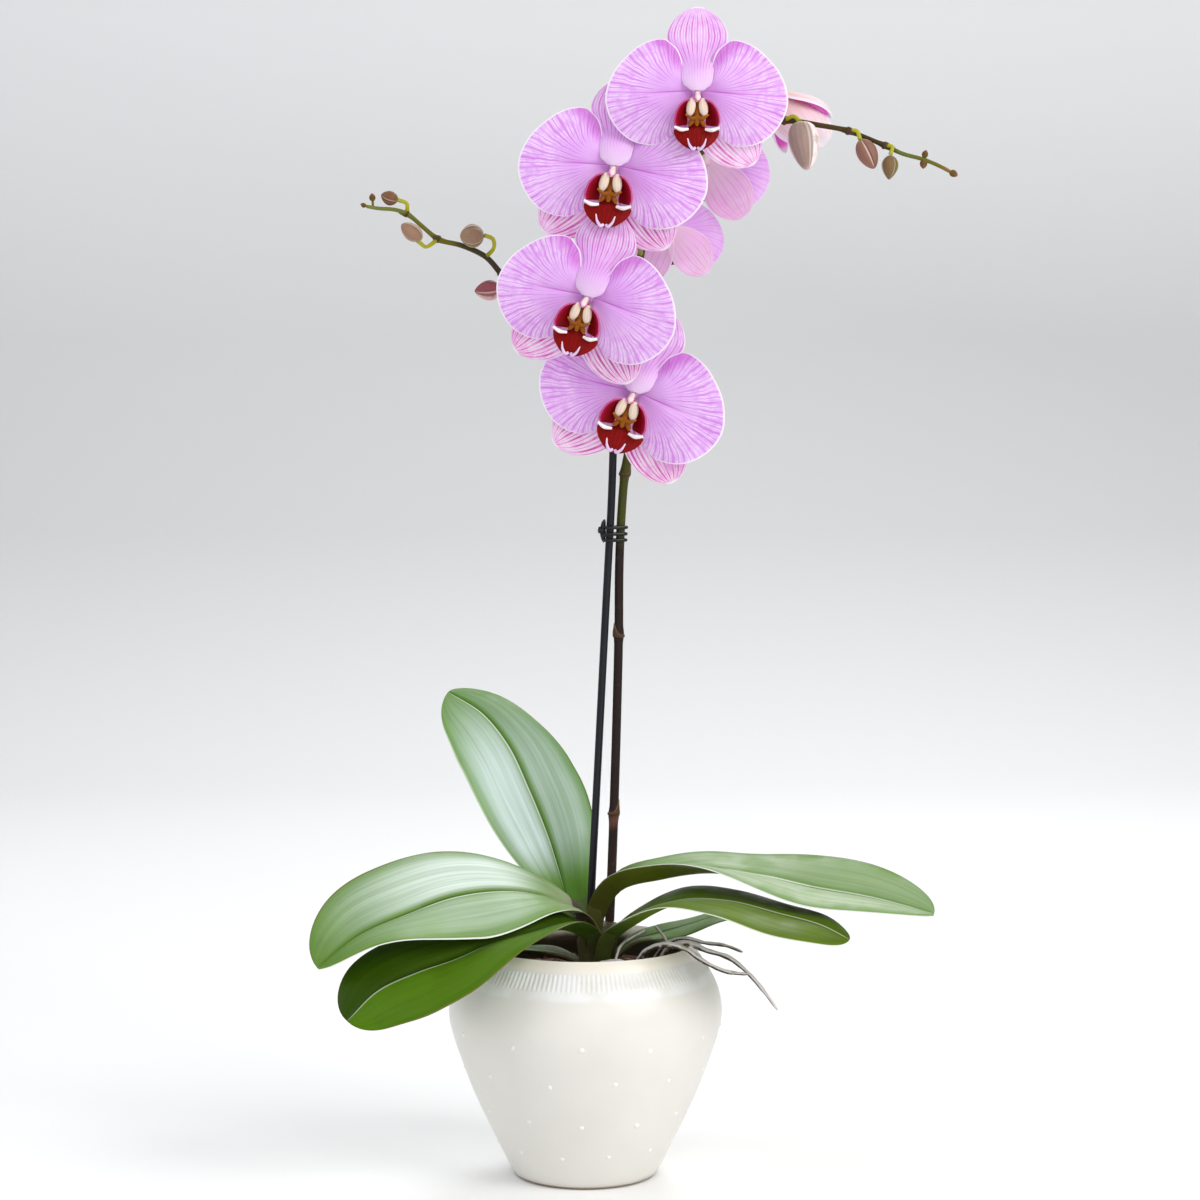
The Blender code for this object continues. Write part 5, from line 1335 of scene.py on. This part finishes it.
def lip_piece():
    """Side lobes: a grid between an inner and an outer outline that rises outward. Middle lobe: a
    strip of tabled width, arched across. Tails, wings, callus and claw: stems and lumps."""
    shape = Shape()
    rows, columns = 12, 22
    s = np.linspace(0, 1, rows)[:, None, None]
    outer, inner = smooth_path(LIP_SIDE_OUT, columns), smooth_path(LIP_SIDE_IN, columns)
    flat = inner[None] * (1 - s) + outer[None] * s
    t = np.linspace(-1, 1, columns)
    z = 7.4 + 6.4 * s[..., 0] ** 1.3 - 1.2 * t[None] ** 2 * s[..., 0]
    for side in (1, -1):
        middle = np.concatenate([flat * (side, 1), z[..., None]], axis=-1)
        thick = LIP_THICK * np.sqrt(np.clip(1 - np.abs(t) ** 8, 0, 1))[None] + 0 * s[..., 0]
        blade(shape, middle, thick, t, s[:, 0, 0], SIDE_LOBE, face_to=(0, 0, 1))
    at, width = np.array(LIP_MIDDLE).T
    s = np.linspace(0, 1, 26)
    half = np.interp(s, at, width)[:, None]
    u = np.sin(np.linspace(-1, 1, 17) * math.pi / 2)[None, :]
    corner = 1.5 * (np.abs(u) - 0.4) * np.exp(-((s[:, None] - 0.40) / 0.09) ** 2)
    middle = np.stack([half * u, -15.8 - LIP_MIDDLE_LENGTH * s[:, None] + corner,
                       7.9 + 5.6 * s[:, None] - 1.4 * u**2 * np.sin(math.pi * s[:, None])], axis=-1)
    thick = LIP_THICK * np.sqrt(np.clip(1 - np.abs(u) ** 8, 0, 1)) + 0 * s[:, None]
    blade(shape, middle, thick, u[0], s, MIDDLE_LOBE, face_to=(0, 0, 1))
    for side in (1, -1):
        for points, widths, finish in LIP_STEMS:
            path = smooth_path(np.array(points) * (side, 1, 1), 18)
            reach = np.interp(np.linspace(0, 1, 18), np.linspace(0, 1, 3), widths)
            shape.add(stem_rings(path, reach, 8)[0], ring_faces(18, 8), even_uv(18, 8), finish)
        cushion(shape, (side * 3.4, -9.0, 11.0), (2.5, 5.1, 1.5), CUSHION, side * 9)
        cushion(shape, (side * 3.0, -17.0, 11.0), (1.3, 2.6, 1.1), CALLUS, side * 32)
    cushion(shape, (0, -15.6, 11.0), (1.7, 3.4, 1.7), CALLUS)
    claw = smooth_path([(0, -4.0, 4.0), (0, -9.0, 6.4), (0, -13.5, 7.6), (0, -17.5, 8.2)], 14)
    reach = np.interp(np.linspace(0, 1, 14), [0, 0.6, 1], [1.7, 3.6, 2.4])
    shape.add(stem_rings(claw, reach, 14)[0], ring_faces(14, 14), even_uv(14, 14), CALLUS)
    return shape


crimson = lip_finish("lip_side", (0.19, 0.0, 0.004), (0.33, 0.003, 0.05), (0.52, 0.08, 0.22), 0.5)
crimson_back = lip_finish("lip_side_back", (0.30, 0.01, 0.05), (0.42, 0.04, 0.15),
                          (0.75, 0.4, 0.55), 0.5)
dark_red = lip_finish("lip_middle", (0.20, 0.0, 0.0), (0.15, 0.0, 0.0), (0.26, 0.002, 0.004), 0.5)
dark_red_back = lip_finish("lip_middle_back", (0.30, 0.01, 0.03), (0.26, 0.01, 0.03),
                           (0.36, 0.03, 0.06), 0.5)
tail_white = lip_finish("lip_tail", (0.74, 0.55, 0.82), (0.88, 0.82, 0.90), (0.9, 0.86, 0.92), 0.4)
callus_gold = lip_finish("lip_callus", (0.26, 0.075, 0.006), (0.46, 0.19, 0.02), (0.4, 0.16, 0.02), 0.4)
cushion_cream = lip_finish("lip_cushion", (0.78, 0.62, 0.52), (0.84, 0.74, 0.68), (0.8, 0.6, 0.6),
                           0.45)
wing_white = lip_finish("lip_wing", (0.88, 0.82, 0.84), (0.9, 0.86, 0.88), (0.9, 0.86, 0.88), 0.4)
lip_looks = [crimson, crimson_back, dark_red, dark_red_back, tail_white, callus_gold, cushion_cream,
             wing_white]
lip_shape = lip_piece()
for name, (centre, facing, lean, size, _) in BLOOMS.items():
    place = placement(centre, facing, lean, size * (YOUNG_LIP if name in CUPPED else 1.0))
    made(name + "_lip_lobes", placed(lip_shape, place), lip_looks, [name + "_lip"])

# Columns
# The column stands over the lip: a short blunt club of pale tissue with magenta sides and a cream
# cap at its end.
COLUMN = [(0, -1.4, HUB_FRONT + 0.3), (0, -1.8, 6.0), (0, -2.6, 9.0), (0, -4.0, 11.4),
          (0, -5.6, 12.8)]
# Half its width at shares of its length
COLUMN_REACH = [(0, 1.5), (0.3, 1.6), (0.6, 1.8), (0.85, 2.1), (0.95, 1.6), (1.0, 0.3)]


def column_finish():
    """Cream in front, magenta towards the sides and the foot."""
    f = Finish("column_cream", Roughness=0.4, Coat_Weight=0.15, Coat_Roughness=0.3)
    around, along = f.pattern()
    side = f.absolute(f.cosine(f.times(around, 2 * math.pi)))
    tone = f.mix(f.between(side, 0.45, 0.95), (0.78, 0.66, 0.58), (0.62, 0.10, 0.45))
    tone = f.mix(f.between(along, 0.45, 0.1, 0.0, 0.8), tone, (0.66, 0.26, 0.66))
    yellow, grain = f.patches(300.0, 0.5, 0.7, 0.3)
    f.colour(f.mix(yellow, tone, (0.70, 0.60, 0.40)))
    f.bump(grain, 0.15, 0.2)
    return f.material


column_shape = Shape()
rows, sides = 30, 20
reach = np.interp(np.linspace(0, 1, rows), *zip(*COLUMN_REACH))
column_shape.add(stem_rings(smooth_path(COLUMN, rows), reach, sides)[0], ring_faces(rows, sides),
                 even_uv(rows, sides))
column_looks = [column_finish()]
for name, (centre, facing, lean, size, _) in BLOOMS.items():
    place = placement(centre, facing, lean, size)
    made(name + "_column_cap", placed(column_shape, place), column_looks, [name + "_column"])

# Flower stalks
# Each flower hangs on its own stalk, which leaves the spike, arches and meets the flower's back.
# Green at the spike, it turns pinkish white at the flower.

# Middle of the half open flower, the way it faces and where its stalk leaves the spike
OPENING = ((101.0, 26.0, 576.0), (0.48, -0.14, -0.82), (88.0, 0.0, 555.6))
# How far back its hub reaches beside a full bloom's
OPENING_HUB = 0.6


def flower_stalk(centre, facing, size, start, count=40):
    """A cubic curve from the spike to the flower's back, with one handle up from the spike and one
    straight back from the flower."""
    end = np.asarray(centre) - unit(facing) * (HUB_BACK * size + 0.3)
    back = end - unit(facing) * 3.0
    start = np.asarray(start, float)
    away = np.linalg.norm(back - start)
    first = start + (unit(back - start) * 0.6 + np.array([0, 0, 0.4])) * away * 0.35
    second = back - unit(facing) * away * 0.4
    t = np.linspace(0, 1, count)[:, None]
    bent = ((1 - t) ** 3 * start + 3 * t * (1 - t) ** 2 * first + 3 * t**2 * (1 - t) * second
            + t**3 * back)
    return np.concatenate([bent, [end]])


flower_stalk_skin = stem_finish("flower_stalk_skin", [
    (0.0, (0.20, 0.20, 0.05)), (0.3, (0.40, 0.36, 0.16)), (0.75, (0.62, 0.44, 0.44)),
    (1.0, (0.80, 0.66, 0.70))])
shape = Shape()
stalks = [(centre, facing, size, start) for centre, facing, _, size, start in BLOOMS.values()]
for centre, facing, size, start in [*stalks, (*OPENING[:2], OPENING_HUB, OPENING[2])]:
    path = flower_stalk(centre, facing, size, start)
    reach = np.interp(np.linspace(0, 1, len(path)), [0, 0.2, 0.6, 0.85, 1], [1.5, 1.15, 1.15, 1.5, 1.8])
    shape.add(stem_rings(path, reach, 12)[0], ring_faces(len(path), 12), even_uv(len(path), 12))
made("flower_stalks", shape, [flower_stalk_skin], ["flower_spike"])

# Half open flower
# One flower behind the right arm is still opening: three cupped sepals, pale outside and pink
# inside, stand round two rolled petals.

# Turn about its axis in degrees, length, width and spread of each sepal and petal
OPENING_BLADES = [(12, 31.0, 40.0, 0.60), (165, 34.0, 30.0, 0.34), (304, 47.0, 46.0, 0.35),
                  (75, 38.0, 28.0, 0.36), (345, 30.0, 20.0, 0.28)]


def cupped(shape, turn, length, width, spread, rows=30, columns=21):
    """A blade bent round its middle: its distance from the flower's axis is a sine of the share
    of its length, and its width wraps round that axis."""
    s = (1 - (1 - np.linspace(0, 1, rows)) ** 1.4)[:, None]
    u = np.sin(np.linspace(-1, 1, columns) * math.pi / 2)[None, :]
    half = width / 2 * np.maximum(np.sin(math.pi * np.clip(s, 0.04, 0.999) ** 0.85) ** 0.62, 0.03)
    half = np.where(s < 0.1, np.maximum(half, width * 0.1), half)
    reach = 1.4 + length * spread * np.sin(s * 1.9) ** 0.9
    around = math.radians(turn) + 1.1 * half * u / np.maximum(reach + 5.0, 6.0)
    rise = 0.6 + length * 0.86 * s + 0 * u
    middle = np.stack([reach * np.sin(around), reach * np.cos(around), rise], axis=-1)
    thick = PETAL_THICKNESS / 2 * np.sqrt(np.clip(1 - u**8, 0, 1)) + 0 * s
    blade(shape, middle[:, ::-1], thick, -u[0][::-1], s[:, 0], 0)


opening_inside = tissue("opening_inside", (0.96, 0.20, 0.84), (0.86, 0.05, 0.66), (0.95, 0.55, 0.90),
                        WHITE, (4.0, 0.8, 0.5, 0.4, 0.4), ((0.88, 0.62, 0.74), 0.35, 0.7), margin=0.24)
opening_outside = tissue("opening_outside", (0.93, 0.80, 0.80), (0.86, 0.60, 0.64),
                         (0.97, 0.93, 0.94), WHITE, (4.0, 0.8, 0.25, 0.6, 0.25),
                         ((0.80, 0.44, 0.40), 0.75, 0.85), margin=0.2)
shape = Shape()
rows, sides = 10, 16
hub = smooth_path([(0, 0, -HUB_BACK * OPENING_HUB), (0, 0, 0), (0, 0, 2.6)], rows)
reach = np.interp(np.linspace(0, 1, rows), [0, 0.5, 1], [1.8, 2.8, 3.2])
shape.add(stem_rings(hub, reach, sides)[0], ring_faces(rows, sides), even_uv(rows, sides), 1)
for turn_by, length, width, spread in OPENING_BLADES:
    cupped(shape, turn_by, length, width, spread)
made("opening_flower_cup", placed(shape, placement(*OPENING[:2], 0, 1.0)),
     [opening_inside, opening_outside], ["opening_flower"])

# Stage
# A pale plain floor that curves up behind, soft lamps and the photograph's viewing angle, all in
# metres.
BEND_START, BEND_REACH = 1.6, 0.8
FLOOR_DROP = 0.0005


def floor_piece():
    """A broad level sheet whose far end rises in a quarter circle to a wall."""
    bend = np.linspace(0, math.pi / 2, 16)
    profile = [(-4.0, 0.0), (BEND_START, 0.0),
               *zip(BEND_START + BEND_REACH * np.sin(bend), BEND_REACH * (1 - np.cos(bend))),
               (BEND_START + BEND_REACH, 4.0)]
    points = [(x, y, z - FLOOR_DROP) for y, z in profile for x in (-5.0, 5.0)]
    faces = [(2 * i, 2 * i + 1, 2 * i + 3, 2 * i + 2) for i in range(len(profile) - 1)]
    mesh = bpy.data.meshes.new("floor")
    mesh.from_pydata(points, [], faces)
    mesh.shade_smooth()
    f = Finish("floor_with_painted_shade", Roughness=0.75)
    height = f.node("SeparateXYZ", [(0, f.node("TexCoord").outputs["Object"])]).outputs[2]
    # Painted shade and light: the sheet is darker from the floor up the lower wall and light again at
    # the top.
    f.colour(f.stops(height, [(0.0, (0.95, 0.95, 0.95)), (0.25, (0.78, 0.78, 0.78)),
                              (0.5, (0.77, 0.77, 0.775)), (0.92, (0.95, 0.95, 0.96))]))
    mesh.materials.append(f.material)
    obj = bpy.data.objects.new("floor", mesh)
    bpy.context.scene.collection.objects.link(obj)


def lamp(name, place, aim, size, power, tint=(1, 1, 1)):
    """A square soft lamp turned to a point by the two angles of the line from it to that point."""
    light = bpy.data.lights.new(name, "AREA")
    light.size, light.energy, light.color = size, power, tint
    obj = bpy.data.objects.new(name, light)
    obj.location = place
    way = np.subtract(aim, place)
    flat = math.hypot(way[0], way[1])
    obj.rotation_euler = (math.atan2(flat, -way[2]), 0, math.atan2(-way[0], way[1]))
    bpy.context.scene.collection.objects.link(obj)


floor_piece()
lamp("key", (1.5, -1.2, 1.5), (0.0, 0.0, 0.3), 1.3, 31.0, (1.0, 0.985, 0.96))
lamp("window", (-1.4, -0.4, 1.5), (0.0, 0.0, 0.2), 1.2, 10.5, (0.96, 0.98, 1.0))
lamp("front", (0.1, -2.6, 1.2), (0.0, 0.0, 0.4), 1.6, 14.0)
lamp("back", (0.4, 1.4, 1.6), (0.0, 0.0, 0.35), 1.0, 14.0)
world = bpy.data.worlds.new("pale room")
bpy.context.scene.world = world
world.use_nodes = True
world.node_tree.nodes["Background"].inputs[0].default_value = (0.95, 0.97, 1.0, 1.0)
world.node_tree.nodes["Background"].inputs[1].default_value = 0.42
view = bpy.data.cameras.new("view")
view.lens, view.sensor_width, view.clip_start = 87.915, 36.0, 0.05
camera = bpy.data.objects.new("view", view)
camera.location = (0.0078, -1.550, 0.410)
camera.rotation_euler = (math.radians(90 - 3.80), 0, 0)
bpy.context.scene.collection.objects.link(camera)
bpy.context.scene.camera = camera

bpy.context.scene.view_settings.view_transform = "Standard"
